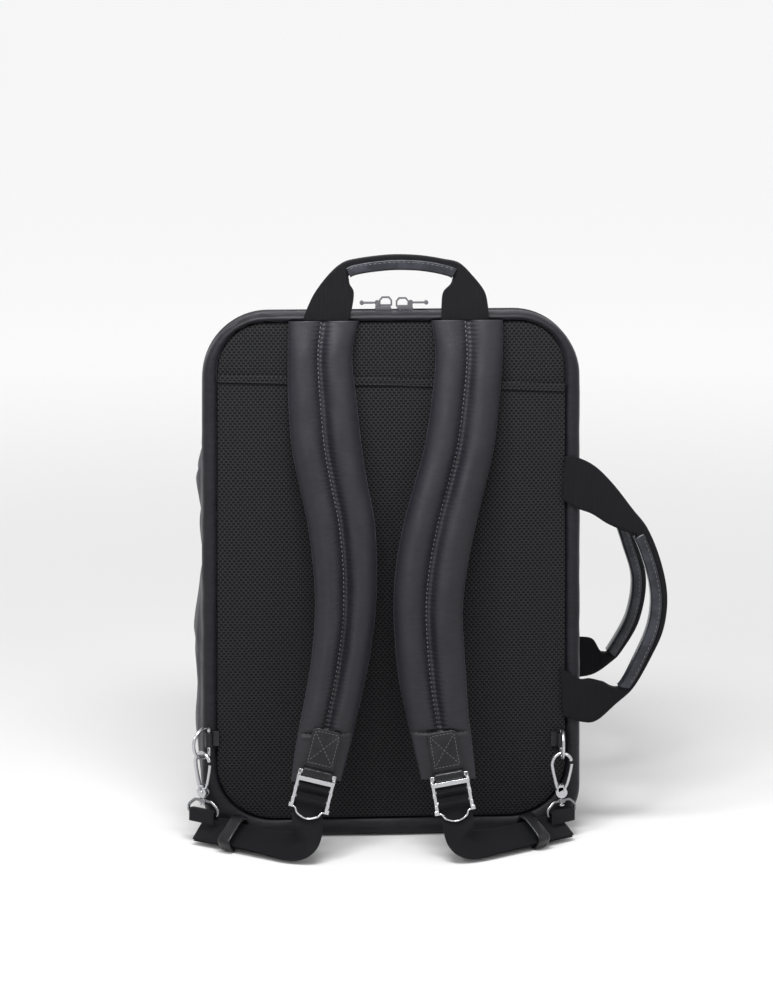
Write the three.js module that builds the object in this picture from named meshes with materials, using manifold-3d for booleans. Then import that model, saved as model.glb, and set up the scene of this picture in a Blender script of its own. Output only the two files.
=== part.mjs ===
// A convertible backpack: a soft rectangular bag with a mesh back, a luggage sleeve, two padded
// shoulder straps on ladder buckles and snap hooks, a top handle, and two briefcase handles on one side.
//
// Millimetres, +Z up. The origin is the middle of the flat bottom. The wearer's side, with the straps,
// faces -Y, and the briefcase handles stand out at +X.
import * as THREE from "three";
import Module from "manifold-3d";
import { mergeVertices } from "three/addons/utils/BufferGeometryUtils.js";

const wasm = await Module();
wasm.setup();

// Bag
const bagWidth = 300;
const bagHeight = 425;
const bagDepth = 110;
const bagWall = 3;
const topCornerRadius = 52;
const bottomCornerRadius = 38;
const sideTaper = 0.02; // how much wider the foot is, and narrower the top, as a share
const fit = 0.3; // clearance between pieces that touch

// Back panel and the luggage sleeve over it
const borderSide = 12; // nylon border beside the mesh
const borderTop = 7;
const borderBottom = 16;
const panelTopRadius = 38;
const panelBottomRadius = 46;
const panelRecess = 7; // how deep the panel's bed lies behind the border's crest
const panelThickness = 3.4;
const sleeveThickness = 2.4;
const sleeveTop = 374;
const hemHeight = 6.5;
const hemBulge = 1;

// Main zip, which runs over the top and down both sides
const zipSlot = 10;
const zipSetback = 14; // from the border's crest to the slot
const zipEnd = 95; // height at which it stops on each side
const tapeThickness = 1.6;
const coilWidth = 5.2;
const coilHeight = 1.2;
const sliderLength = 12.5;
const sliderWidth = 7.6;
const sliderHeight = 3.4;
const sliderSpacing = 17;
const lockLoopWidth = 10.4;
const lockLoopHeight = 7.4;
const lockLoopWire = 1.3;
const pullLength = 13;
const pullWidth = 4.6;
const pullThickness = 1.3;
const pullPinRadius = 0.8;

// Shoulder straps
const strapThickness = 13;
const strapEdge = 3.2; // thickness at the sewn rim
const strapMiddle = 2.5; // the straps' middle line lies this far towards +X

// Leather patch and ladder buckle
const patchWidth = 23.5;
const patchLength = 35;
const leather = 1.8;
const buckleWidth = 30;
const buckleHeight = 31;
const buckleThickness = 3;
const buckleRail = 2.5;
const buckleBar = 1.3; // radius of the two inner bars
const topBarHeight = 3.2;
const lipDrop = 6.5;
const lipWire = 1.5;

// Adjuster webbing
const webbingWidth = 24;
const webbingThickness = 1.6;
const layerSpacing = 2.1; // between the middles of its two layers
const keeperLength = 11;
const keeperHeight = 12;

// Snap hook, swivel and D-ring
const hookHeight = 33.6; // from the rivet to the crown
const hookWidth = 18.6;
const hookWire = 2.9;
const hookThickness = 3.6;
const hookBase = 4.6; // half width at the rivet
const gateTongue = 1.5;
const gateSlot = 2.1;
const rivetRadius = 0.8;
const postRadius = 1.4;
const postHeadRadius = 2.5;
const postHead = 1.3;
const bossRadius = 3.3;
const bossHeight = 3.2;
const eyeWidth = 31;
const eyeHeight = 13;
const eyeWire = 2.4;
const ringHeight = 27;
const ringWire = 2.6;
const tabWidth = 12;
const tabThickness = 1.2;
const tabFlap = 8;

// Handles
const gripLeather = 1.4;

const backY = -bagDepth / 2;
const frontY = bagDepth / 2;
const bedY = backY + panelRecess;
const zipY = backY + zipSetback + zipSlot / 2;

const nylon = { color: 0x2b2b30, roughness: 0.62, metalness: 0 };
const meshCloth = { color: 0x17171a, roughness: 0.9, metalness: 0 };
const webCloth = { color: 0x141416, roughness: 0.8, metalness: 0 };
const hide = { color: 0x232326, roughness: 0.45, metalness: 0 };
const gunmetal = { color: 0x9a9aa0, roughness: 0.25, metalness: 1 };
const darkMetal = { color: 0x4a4a50, roughness: 0.3, metalness: 1 };

const group = new THREE.Group();

function add(name, geometry, finish) {
  const mesh = new THREE.Mesh(geometry, new THREE.MeshStandardMaterial(finish));
  mesh.name = name;
  group.add(mesh);
  return mesh;
}

const v3 = (x, y, z) => new THREE.Vector3(x, y, z);
const mix = THREE.MathUtils.lerp;

// A closed mesh through rings of points. Its ends are closed by fans, unless the rings form a loop.
// A flat strip's two wide faces are split along the same diagonal, so it keeps its thickness in a twist.
function loft(rings, loop = false) {
  const n = rings[0].length;
  const points = rings.flat();
  const faces = [];
  const spans = loop ? rings.length : rings.length - 1;
  for (let r = 0; r < spans; r++) {
    const a = r * n;
    const b = ((r + 1) % rings.length) * n;
    for (let k = 0; k < n; k++) {
      const m = (k + 1) % n;
      const turned = n === 4 && k > 1;
      if (turned) faces.push([a + k, a + m, b + k], [a + m, b + m, b + k]);
      else faces.push([a + k, a + m, b + m], [a + k, b + m, b + k]);
    }
  }
  if (!loop) {
    capFan(points, faces, 0, n, true);
    capFan(points, faces, (rings.length - 1) * n, n, false);
  }
  return closedGeometry(points, faces);
}

// Closes a ring with a fan round its middle, or for a four-cornered ring with two faces.
function capFan(points, faces, start, n, first) {
  const corner = (k) => start + (k % n);
  if (n === 4) {
    const cap = [[0, 2, 1], [0, 3, 2]].map((t) => t.map(corner));
    cap.forEach((t) => faces.push(first ? t : [t[0], t[2], t[1]]));
    return;
  }
  const middle = v3(0, 0, 0);
  for (let k = 0; k < n; k++) middle.add(points[start + k]);
  points.push(middle.divideScalar(n));
  const hub = points.length - 1;
  for (let k = 0; k < n; k++) {
    faces.push(first ? [hub, corner(k + 1), corner(k)] : [hub, corner(k), corner(k + 1)]);
  }
}

// Closes a ring whose outline is not star-shaped, by cutting the flat outline into triangles.
function sectionLoft(rings, outline) {
  const n = outline.length;
  const points = rings.flat();
  const faces = [];
  for (let r = 0; r < rings.length - 1; r++) {
    for (let k = 0; k < n; k++) {
      const [a, b, m] = [r * n, (r + 1) * n, (k + 1) % n];
      faces.push([a + k, a + m, b + m], [a + k, b + m, b + k]);
    }
  }
  const flat = outline.map(([x, y]) => new THREE.Vector2(x, y));
  const turn = THREE.ShapeUtils.area(flat) > 0 ? 1 : -1;
  const last = (rings.length - 1) * n;
  for (const t of THREE.ShapeUtils.triangulateShape(flat, [])) {
    const [i, j, k] = turn > 0 ? t : [t[0], t[2], t[1]];
    faces.push([i, k, j], [last + i, last + j, last + k]);
  }
  return closedGeometry(points, faces);
}

function closedGeometry(points, faces) {
  let volume = 0;
  for (const [i, j, k] of faces) volume += points[i].dot(points[j].clone().cross(points[k]));
  const geometry = new THREE.BufferGeometry();
  geometry.setAttribute(
    "position",
    new THREE.Float32BufferAttribute(points.flatMap((p) => [p.x, p.y, p.z]), 3),
  );
  geometry.setIndex(volume < 0 ? faces.flatMap(([i, j, k]) => [i, k, j]) : faces.flat());
  return geometry;
}

function solid(geometry) {
  const bare = (geometry.index ? geometry.toNonIndexed() : geometry).clone();
  bare.deleteAttribute("normal");
  bare.deleteAttribute("uv");
  const merged = mergeVertices(bare, 1e-4);
  return new wasm.Manifold(
    new wasm.Mesh({
      numProp: 3,
      vertProperties: merged.attributes.position.array,
      triVerts: new Uint32Array(merged.index.array),
    }),
  );
}

function geometryOf(made) {
  const mesh = made.getMesh();
  const geometry = new THREE.BufferGeometry();
  const count = mesh.vertProperties.length / mesh.numProp;
  const places = new Float32Array(count * 3);
  for (let i = 0; i < count; i++) {
    places.set(mesh.vertProperties.subarray(i * mesh.numProp, i * mesh.numProp + 3), i * 3);
  }
  geometry.setAttribute("position", new THREE.BufferAttribute(places, 3));
  geometry.setIndex(new THREE.BufferAttribute(mesh.triVerts, 1));
  return geometry;
}

const joined = (...made) => made.map(solid).reduce((a, b) => a.add(b));

function boxAt(width, depth, height, x, y, z) {
  return new THREE.BoxGeometry(width, depth, height).translate(x, y, z);
}

// A round bar along X, Y or Z, centred at a point.
function barAt(radius, length, axis, x, y, z, sides = 10) {
  const bar = new THREE.CylinderGeometry(radius, radius, length, sides);
  if (axis === "x") bar.rotateZ(Math.PI / 2);
  if (axis === "z") bar.rotateX(Math.PI / 2);
  return bar.translate(x, y, z);
}

// A flat plate from an outline in X and Z, centred on Y = 0.
function plate(outline, thickness, holes = []) {
  const shape = new THREE.Shape(outline.map(([x, z]) => new THREE.Vector2(x, z)));
  for (const hole of holes) {
    shape.holes.push(new THREE.Path(hole.map(([x, z]) => new THREE.Vector2(x, z))));
  }
  const made = new THREE.ExtrudeGeometry(shape, { depth: thickness, bevelEnabled: false });
  return made.translate(0, 0, -thickness / 2).rotateX(Math.PI / 2);
}

// Bag outlines, seen from the back, as points round the rim from the middle of the bottom

const bodyOutline = {
  half: bagWidth / 2,
  bottom: 0,
  top: bagHeight,
  topRadius: topCornerRadius,
  bottomRadius: bottomCornerRadius,
};
const panelOutline = {
  half: bagWidth / 2 - borderSide,
  bottom: borderBottom,
  top: bagHeight - borderTop,
  topRadius: panelTopRadius,
  bottomRadius: panelBottomRadius,
};

function insetOutline(outline, inset) {
  return {
    half: outline.half - inset,
    bottom: outline.bottom + inset,
    top: outline.top - inset,
    topRadius: outline.topRadius - inset,
    bottomRadius: outline.bottomRadius - inset,
  };
}

function mixOutline(a, b, share) {
  return Object.fromEntries(Object.keys(a).map((key) => [key, mix(a[key], b[key], share)]));
}

const bottomSteps = 2;
const bottomCornerSteps = 5;
const sideSteps = 9;
const topCornerSteps = 6;
const topSteps = 3;

// One half of the rim, from near the middle of the bottom to near the middle of the top.
function halfRim({ half, bottom, top, topRadius, bottomRadius }) {
  const rim = [];
  const flatBottom = half - bottomRadius;
  for (let k = 0; k < bottomSteps; k++) rim.push([(flatBottom * (k + 0.5)) / bottomSteps, bottom]);
  for (let k = 0; k <= bottomCornerSteps; k++) {
    const turn = (Math.PI / 2) * (k / bottomCornerSteps);
    rim.push([
      flatBottom + bottomRadius * Math.sin(turn),
      bottom + bottomRadius * (1 - Math.cos(turn)),
    ]);
  }
  const [low, high] = [bottom + bottomRadius, top - topRadius];
  for (let k = 1; k < sideSteps; k++) rim.push([half, mix(low, high, k / sideSteps)]);
  for (let k = 0; k <= topCornerSteps; k++) {
    const turn = (Math.PI / 2) * (k / topCornerSteps);
    rim.push([
      half - topRadius + topRadius * Math.cos(turn),
      high + topRadius * Math.sin(turn),
    ]);
  }
  const flatTop = half - topRadius;
  for (let k = topSteps - 1; k >= 0; k--) rim.push([(flatTop * (k + 0.5)) / topSteps, top]);
  return rim;
}

// The whole rim at one depth, tapered, as points in X and Z.
function rimOf(outline) {
  const right = halfRim(outline);
  const left = right.map(([x, z]) => [-x, z]).reverse();
  return [...right, ...left].map(([x, z]) => [
    x * (1 + sideTaper * (1 - (2 * z) / bagHeight)),
    z,
  ]);
}

// Where the soft sides stand out or pinch in. Height and spread are shares of the bag's height.
const gussetFolds = [
  { side: -1, height: 0.19, spread: 0.08, push: 2.6 },
  { side: -1, height: 0.37, spread: 0.09, push: 3.4 },
  { side: -1, height: 0.51, spread: 0.022, push: -2.2 },
  { side: -1, height: 0.58, spread: 0.04, push: 1.6 },
  { side: -1, height: 0.68, spread: 0.05, push: 5.2 },
  { side: 1, height: 0.26, spread: 0.06, push: 1.8 },
  { side: 1, height: 0.5, spread: 0.07, push: -2.4 },
  { side: 1, height: 0.72, spread: 0.07, push: 2.2 },
];

function gussetPush(x, z) {
  let push = 0;
  for (const fold of gussetFolds) {
    if (Math.sign(x) !== fold.side) continue;
    const away = (z / bagHeight - fold.height) / fold.spread;
    push += fold.push * Math.exp(-away * away);
  }
  return push;
}

// A ring of the bag at depth y. sag is how far the gusset stands out there, as a share of the folds.
function bagRing(outline, y, sag = 0) {
  return rimOf(outline).map(([x, z]) => {
    const onSide = Math.abs(x) / (bagWidth / 2) > 0.9 ? sag : 0;
    return v3(x + Math.sign(x) * onSide * gussetPush(x, z), y, z);
  });
}

// Depth is a share of the way from the back border's crest to the front, and border a share of the
// way from the bag's rim to the mesh panel's seam.
const backBorderRings = [
  { behind: panelRecess, border: 1 },
  { behind: 1.8, border: 0.86 },
  { behind: 0, border: 0.58 },
  { behind: 1.4, border: 0.26 },
  { behind: 5, border: 0.06 },
  { behind: zipSetback, border: 0 },
];
const gussetRings = [
  { depth: 0.24, sag: 0 },
  { depth: 0.38, sag: 0.75 },
  { depth: 0.55, sag: 1 },
  { depth: 0.72, sag: 0.85 },
  { depth: 0.85, sag: 0.35 },
];
const frontRings = [
  { depth: 0.93, inset: 2.5 },
  { depth: 0.975, inset: 7.5 },
  { depth: 1, inset: 15 },
];
const frontDome = [{ keep: 0.5, rise: 4.2 }];

function scaledRing(ring, keep, rise) {
  const middle = v3(0, 0, bagHeight / 2);
  return ring.map((p) => v3(p.x * keep, p.y + rise, mix(middle.z, p.z, keep)));
}

function bagShell() {
  const outer = [
    ...backBorderRings.map((r) =>
      bagRing(mixOutline(bodyOutline, panelOutline, r.border), backY + r.behind),
    ),
    ...gussetRings.map((r) => bagRing(bodyOutline, mix(backY, frontY, r.depth), r.sag)),
    ...frontRings.map((r) => bagRing(insetOutline(bodyOutline, r.inset), mix(backY, frontY, r.depth))),
  ];
  const rim = outer[outer.length - 1];
  outer.push(...frontDome.map((d) => scaledRing(rim, d.keep, d.rise)));

  const lining = insetOutline(bodyOutline, bagWall);
  const inner = [
    bagRing(insetOutline(panelOutline, bagWall), bedY + bagWall),
    bagRing(lining, backY + zipSetback - bagWall),
    ...gussetRings.map((r) => bagRing(lining, mix(backY, frontY, r.depth), r.sag)),
    bagRing(insetOutline(lining, 5), frontY - 5 - bagWall),
    bagRing(insetOutline(lining, 12), frontY - bagWall),
  ];
  const slotHeight = bagHeight;
  const slot = boxAt(
    bagWidth * 2,
    zipSlot,
    slotHeight,
    0,
    zipY,
    zipEnd + slotHeight / 2,
  );
  return geometryOf(solid(loft(outer)).subtract(solid(loft(inner))).subtract(solid(slot)));
}

add("bag_shell", bagShell(), nylon);

// The zip's tape and coil lie in the slot, along the bag's rim from one end to the other.
function zipTape() {
  const rim = rimOf(bodyOutline);
  const start = rim.findIndex(([, z]) => z > zipEnd + fit);
  const run = rim.slice(start, rim.length - start);
  const xAtEnd = (bagWidth / 2) * (1 + sideTaper * (1 - (2 * zipEnd) / bagHeight));
  run.unshift([xAtEnd, zipEnd + fit]);
  run.push([-xAtEnd, zipEnd + fit]);
  const tape = zipSlot / 2 - fit;
  const top = -0.6;
  const section = [
    [-tape, top - coilHeight - tapeThickness],
    [tape, top - coilHeight - tapeThickness],
    [tape, top - coilHeight],
    [coilWidth / 2, top - coilHeight],
    [coilWidth / 2 - 0.7, top],
    [-coilWidth / 2 + 0.7, top],
    [-coilWidth / 2, top - coilHeight],
    [-tape, top - coilHeight],
  ];
  const rings = run.map(([x, z], i) => {
    const before = run[Math.max(0, i - 1)];
    const after = run[Math.min(run.length - 1, i + 1)];
    const along = new THREE.Vector2(after[0] - before[0], after[1] - before[1]).normalize();
    return section.map(([y, out]) => v3(x + along.y * out, zipY + y, z - along.x * out));
  });
  return sectionLoft(rings, section);
}

add("main_zip", zipTape(), darkMetal);

// Each slider has a low body, an upright loop for a padlock, and two ears that hold the pull's pin.
const coilTop = bagHeight - 0.6;
const pullPinX = sliderLength / 2 - 1.6; // outwards from the slider's middle
const pullPinZ = sliderHeight + 2.4;

function zipSlider() {
  const base = coilTop + fit;
  const halfBody = sliderLength / 2;
  const body = plate(
    [
      [-halfBody, 0],
      [halfBody, 0],
      [halfBody, sliderHeight * 0.7],
      [halfBody - 2, sliderHeight],
      [-halfBody + 2, sliderHeight],
      [-halfBody, sliderHeight * 0.7],
    ],
    sliderWidth,
  );
  const loopMiddle = -halfBody + lockLoopWidth / 2 - 1;
  const loopOutline = (w, h, z) => [
    [loopMiddle - w / 2, z],
    [loopMiddle + w / 2, z],
    [loopMiddle + w / 2, z + h * 0.6],
    [loopMiddle + w / 2 - w * 0.22, z + h],
    [loopMiddle - w / 2 + w * 0.22, z + h],
    [loopMiddle - w / 2, z + h * 0.6],
  ];
  const loop = plate(
    loopOutline(lockLoopWidth, lockLoopHeight, sliderHeight - 0.5),
    1.8,
    [loopOutline(lockLoopWidth - 2 * lockLoopWire, lockLoopHeight - lockLoopWire - 1.2, sliderHeight + 0.7)],
  ).translate(0, -sliderWidth / 2 + 1.2, 0);
  const earY = pullWidth / 2 - 0.6;
  const earWidth = 1;
  const ears = [-1, 1].map((side) =>
    boxAt(2.6, earWidth, 4.2, pullPinX, side * (earY + earWidth / 2), sliderHeight + 1.5),
  );
  const pin = barAt(pullPinRadius, 2 * earY + earWidth, "y", pullPinX, 0, pullPinZ);
  return geometryOf(joined(body, loop, ...ears, pin)).translate(0, 0, base);
}

// The pull is a slim tab with an eye round the pin. It lies outwards along the zip.
function zipPull() {
  const base = coilTop + fit;
  const eye = pullPinRadius + fit;
  const knuckle = 2 * (pullWidth / 2 - 0.6) - 2 * fit;
  const neck = barAt(eye + 0.9, knuckle, "y", pullPinX, 0, pullPinZ);
  const arm = boxAt(3.6, knuckle, pullThickness, pullPinX + 2.6, 0, pullPinZ);
  const tab = plate(
    [
      [pullPinX + 3.2, -pullThickness / 2],
      [pullPinX + pullLength, -pullThickness / 2],
      [pullPinX + pullLength, pullThickness / 2],
      [pullPinX + 3.2, pullThickness / 2],
    ],
    pullWidth,
  ).translate(0, 0, pullPinZ);
  const knob = barAt(1.7, pullWidth, "y", pullPinX + pullLength - 1, 0, pullPinZ);
  const bore = barAt(eye, bagDepth, "y", pullPinX, 0, pullPinZ);
  return geometryOf(joined(neck, arm, tab, knob).subtract(solid(bore))).translate(0, 0, base);
}

for (const [side, outward] of [["left", -1], ["right", 1]]) {
  for (const [piece, make] of [["zip_slider", zipSlider], ["zip_pull", zipPull]]) {
    const mesh = add(`${piece}_${side}`, make(), gunmetal);
    mesh.position.set(strapMiddle + (outward * sliderSpacing) / 2, zipY, 0);
    if (outward < 0) mesh.rotation.z = Math.PI;
  }
}

// Mesh back panel, and the sleeve that covers it up to its hem
function panelRings(outline, backAt, thickness, crown, cut = bagHeight) {
  const cutRing = (inset, y) =>
    rimOf(insetOutline(outline, inset)).map(([x, z]) => v3(x, y, Math.min(z, cut - inset / 3)));
  return [
    cutRing(fit * 2, backAt),
    cutRing(fit * 2, backAt - thickness * 0.6),
    cutRing(3, backAt - thickness),
    cutRing(16, backAt - thickness - crown),
  ];
}

const panelBack = bedY - fit;
const sleeveBack = panelBack - panelThickness - fit;
const topCrown = 1.4;
add("back_panel", loft(panelRings(panelOutline, panelBack, panelThickness, 0)), meshCloth);

function luggageSleeve() {
  const cloth = loft(panelRings(panelOutline, sleeveBack, sleeveThickness, 0, sleeveTop));
  const hemHalf = (panelOutline.half - 1) * (1 + sideTaper * (1 - (2 * sleeveTop) / bagHeight));
  const hem = boxAt(
    2 * hemHalf,
    sleeveThickness + hemBulge,
    hemHeight,
    0,
    sleeveBack - (sleeveThickness + hemBulge) / 2,
    sleeveTop - hemHeight / 2,
  );
  return geometryOf(joined(cloth, hem));
}
add("luggage_sleeve", luggageSleeve(), meshCloth);

// Straps and webbing: rows are stations from the top down, joined by a smooth curve

function smoothRows(rows, steps) {
  const keys = Object.keys(rows[0]);
  const curve = new THREE.CatmullRomCurve3(
    rows.map((r) => v3(r.x, r.y, r.z)),
    false,
    "centripetal",
  );
  const made = [];
  for (let i = 0; i <= steps; i++) {
    const u = i / steps;
    const at = u * (rows.length - 1);
    const k = Math.min(rows.length - 2, Math.floor(at));
    const row = {};
    for (const key of keys) {
      if (typeof rows[0][key] === "number") row[key] = mix(rows[k][key], rows[k + 1][key], at - k);
    }
    const point = curve.getPoint(u);
    row.point = point;
    if (rows[0].across) {
      row.across = rows[k].across.clone().lerp(rows[k + 1].across, at - k).normalize();
    }
    made.push(row);
  }
  return framed(made);
}

// Gives each row its direction along the run, and a normal across it.
function framed(rows) {
  rows.forEach((row, i) => {
    const before = rows[Math.max(0, i - 1)].point;
    const after = rows[Math.min(rows.length - 1, i + 1)].point;
    row.along = after.clone().sub(before).normalize();
    row.normal = row.along.clone().cross(row.across).normalize();
    row.side = row.normal.clone().cross(row.along).normalize();
  });
  return rows;
}

function ringOn(row, section) {
  return section.map(([a, b]) =>
    row.point.clone().addScaledVector(row.side, a).addScaledVector(row.normal, b),
  );
}

// How far out from the back's crest the middle of the straps' thickness lies at each height
const strapLean = [
  { z: 415.6, out: 1.2 },
  { z: 392, out: 5.4 },
  { z: 359.6, out: 9.8 },
  { z: 323, out: 14.6 },
  { z: 294.5, out: 18.2 },
  { z: 265, out: 22.1 },
  { z: 230, out: 26.7 },
  { z: 197, out: 31.1 },
  { z: 164, out: 35.8 },
  { z: 137, out: 40 },
  { z: 113, out: 44.1 },
  { z: 90, out: 47.7 },
  { z: 64, out: 51.9 },
];

// Middle line and width of each strap at those heights, measured from the straps' middle line
const strapShapes = {
  left: [
    { middle: -55.5, width: 54.4 },
    { middle: -58.5, width: 50 },
    { middle: -57, width: 53 },
    { middle: -54, width: 54.5 },
    { middle: -49.2, width: 53.5 },
    { middle: -43.4, width: 52.5 },
    { middle: -40.4, width: 50 },
    { middle: -40.3, width: 47.5 },
    { middle: -43.8, width: 45.8 },
    { middle: -48.6, width: 44.8 },
    { middle: -54, width: 44 },
    { middle: -59.2, width: 42.6 },
    { middle: -64.6, width: 39 },
  ],
  right: [
    { middle: 56, width: 55.5 },
    { middle: 57.3, width: 52.6 },
    { middle: 54.6, width: 53 },
    { middle: 49.6, width: 54.5 },
    { middle: 42.6, width: 56 },
    { middle: 34.6, width: 57 },
    { middle: 27.6, width: 56.5 },
    { middle: 24.4, width: 54.5 },
    { middle: 25.6, width: 54 },
    { middle: 27.9, width: 52.5 },
    { middle: 31.2, width: 49 },
    { middle: 35, width: 46.5 },
    { middle: 39.2, width: 43 },
  ],
};
const strapFullness = [0.42, 0.72, 0.9, 1, 1, 1, 1, 1, 0.96, 0.9, 0.8, 0.62, 0.4];
const strapSteps = 16;

// Section of the quilted pad, with the wearer's side at -1. Across and rise are shares of half the
// width and of the thickness.
const padSection = [
  { across: -1, rise: 0.12 },
  { across: -0.92, rise: 0.36 },
  { across: -0.76, rise: 0.78 },
  { across: -0.5, rise: 1 },
  { across: -0.22, rise: 0.82 },
  { across: -0.05, rise: 0.4 },
  { across: 0.05, rise: 0.4 },
  { across: 0.22, rise: 0.82 },
  { across: 0.5, rise: 1 },
  { across: 0.76, rise: 0.78 },
  { across: 0.92, rise: 0.36 },
  { across: 1, rise: 0.12 },
  { across: 0.94, rise: -0.04 },
  { across: 0.5, rise: -0.16 },
  { across: -0.5, rise: -0.16 },
  { across: -0.94, rise: -0.04 },
];
const padBack = 0.16; // how far the section reaches behind its middle line, as a share

function shoulderPad(side) {
  const rows = strapLean.map((lean, k) => ({
    x: strapMiddle + strapShapes[side][k].middle,
    y: backY - lean.out,
    z: lean.z,
    width: strapShapes[side][k].width,
    full: strapFullness[k],
    across: v3(1, 0, 0),
  }));
  const rings = smoothRows(rows, strapSteps).map((row) => {
    const thick = mix(strapEdge, strapThickness, row.full);
    const section = padSection.map(({ across, rise }) => [
      (across * row.width) / 2,
      (rise - (1 - padBack * 2) / 2) * thick,
    ]);
    return ringOn({ ...row, side: row.across }, section);
  });
  return loft(rings);
}

for (const side of ["left", "right"]) add(`shoulder_pad_${side}`, shoulderPad(side), nylon);

// Buckle, patch and webbing share one frame for each strap: its middle, and its lean to the side
const buckleFrames = {
  left: { x: -64.8, out: 61.4, z: 59, lean: 14.5 },
  right: { x: 43.7, out: 61.4, z: 55.5, lean: -9.5 },
};
const buckleTilt = 6; // its top leans back by this much, along the pad

function buckleMatrix(side) {
  const { x, out, z, lean } = buckleFrames[side];
  const tilt = new THREE.Matrix4().makeRotationX(-THREE.MathUtils.degToRad(buckleTilt));
  const turn = new THREE.Matrix4().makeRotationY(THREE.MathUtils.degToRad(lean));
  return new THREE.Matrix4().makeTranslation(x, backY - out, z).multiply(tilt).multiply(turn);
}

const upperBarZ = 2.6; // heights of the two inner bars in the buckle's frame
const lowerBarZ = -6.6;
const windowHalf = buckleWidth / 2 - buckleRail;

function ladderBuckle() {
  const top = buckleHeight / 2;
  const foot = -buckleHeight / 2;
  const half = buckleWidth / 2;
  const rails = [-1, 1].map((s) =>
    boxAt(buckleRail, buckleThickness, buckleHeight, s * (half - buckleRail / 2), 0, 0),
  );
  const topBar = boxAt(buckleWidth, buckleThickness, topBarHeight, 0, 0, top - topBarHeight / 2);
  const bars = [upperBarZ, lowerBarZ].map((z) => barAt(buckleBar, buckleWidth - 1, "x", 0, 0, z, 10));
  const notches = [0.32, 0.02, -0.3].map((share) =>
    boxAt(1.6, buckleThickness + 0.8, 3.4, half - 0.4, 0, share * buckleHeight),
  );
  const lip = lipWireOf(half - 2.6, foot);
  return geometryOf(joined(...rails, topBar, ...bars, ...notches, lip));
}

// The release lip is a wire that drops in front of the webbing in a shallow arc.
function lipWireOf(half, foot) {
  const curve = new THREE.CatmullRomCurve3([
    v3(-half - 1.4, -0.4, foot + 0.6),
    v3(-half + 1.8, -0.9, foot + 0.2),
    v3(-half * 0.62, -1.6, foot - lipDrop * 0.6),
    v3(0, -1.8, foot - lipDrop),
    v3(half * 0.62, -1.6, foot - lipDrop * 0.6),
    v3(half - 1.8, -0.9, foot + 0.2),
    v3(half + 1.4, -0.4, foot + 0.6),
  ]);
  const sides = 6;
  const ring = Array.from({ length: sides }, (_, k) => {
    const turn = (2 * Math.PI * k) / sides;
    return new THREE.Vector2((lipWire / 2) * Math.cos(turn), (lipWire / 2) * Math.sin(turn));
  });
  return new THREE.ExtrudeGeometry(new THREE.Shape(ring), { steps: 14, extrudePath: curve });
}

// The patch is stitched to the pad and folds round the buckle's top bar.
function leatherPatch() {
  const barMiddle = buckleHeight / 2 - topBarHeight / 2;
  const barHalf = { y: buckleThickness / 2 + fit, z: topBarHeight / 2 + fit };
  const fold = boxAt(
    patchWidth,
    2 * (barHalf.y + leather),
    2 * (barHalf.z + leather),
    0,
    0,
    barMiddle,
  );
  const flap = boxAt(
    patchWidth,
    leather,
    patchLength,
    0,
    barHalf.y + leather / 2,
    barMiddle + patchLength / 2,
  );
  const bar = boxAt(buckleWidth, 2 * barHalf.y, 2 * barHalf.z, 0, 0, barMiddle);
  return geometryOf(joined(fold, flap).subtract(solid(bar)));
}

for (const side of ["left", "right"]) {
  add(`ladder_buckle_${side}`, ladderBuckle().applyMatrix4(buckleMatrix(side)), gunmetal);
  add(`leather_patch_${side}`, leatherPatch().applyMatrix4(buckleMatrix(side)), hide);
}

// Turns of the webbing through the buckle, in its frame: y is depth and z is height
const webbingTurn = [
  { y: 3.8, z: -16 },
  { y: 2.8, z: -6.6 },
  { y: 2.6, z: 2.6 },
  { y: 1.9, z: 4.6 },
  { y: 0, z: 5.4 },
  { y: -1.9, z: 4.6 },
  { y: -2.6, z: 2.6 },
  { y: -1.7, z: -0.4 },
  { y: -1.1, z: -2 },
  { y: -1.7, z: -3.6 },
  { y: -2.6, z: -6.6 },
  { y: -1.5, z: -9.4 },
  { y: 0.9, z: -12.4 },
  { y: 1.6, z: -16 },
];

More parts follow.
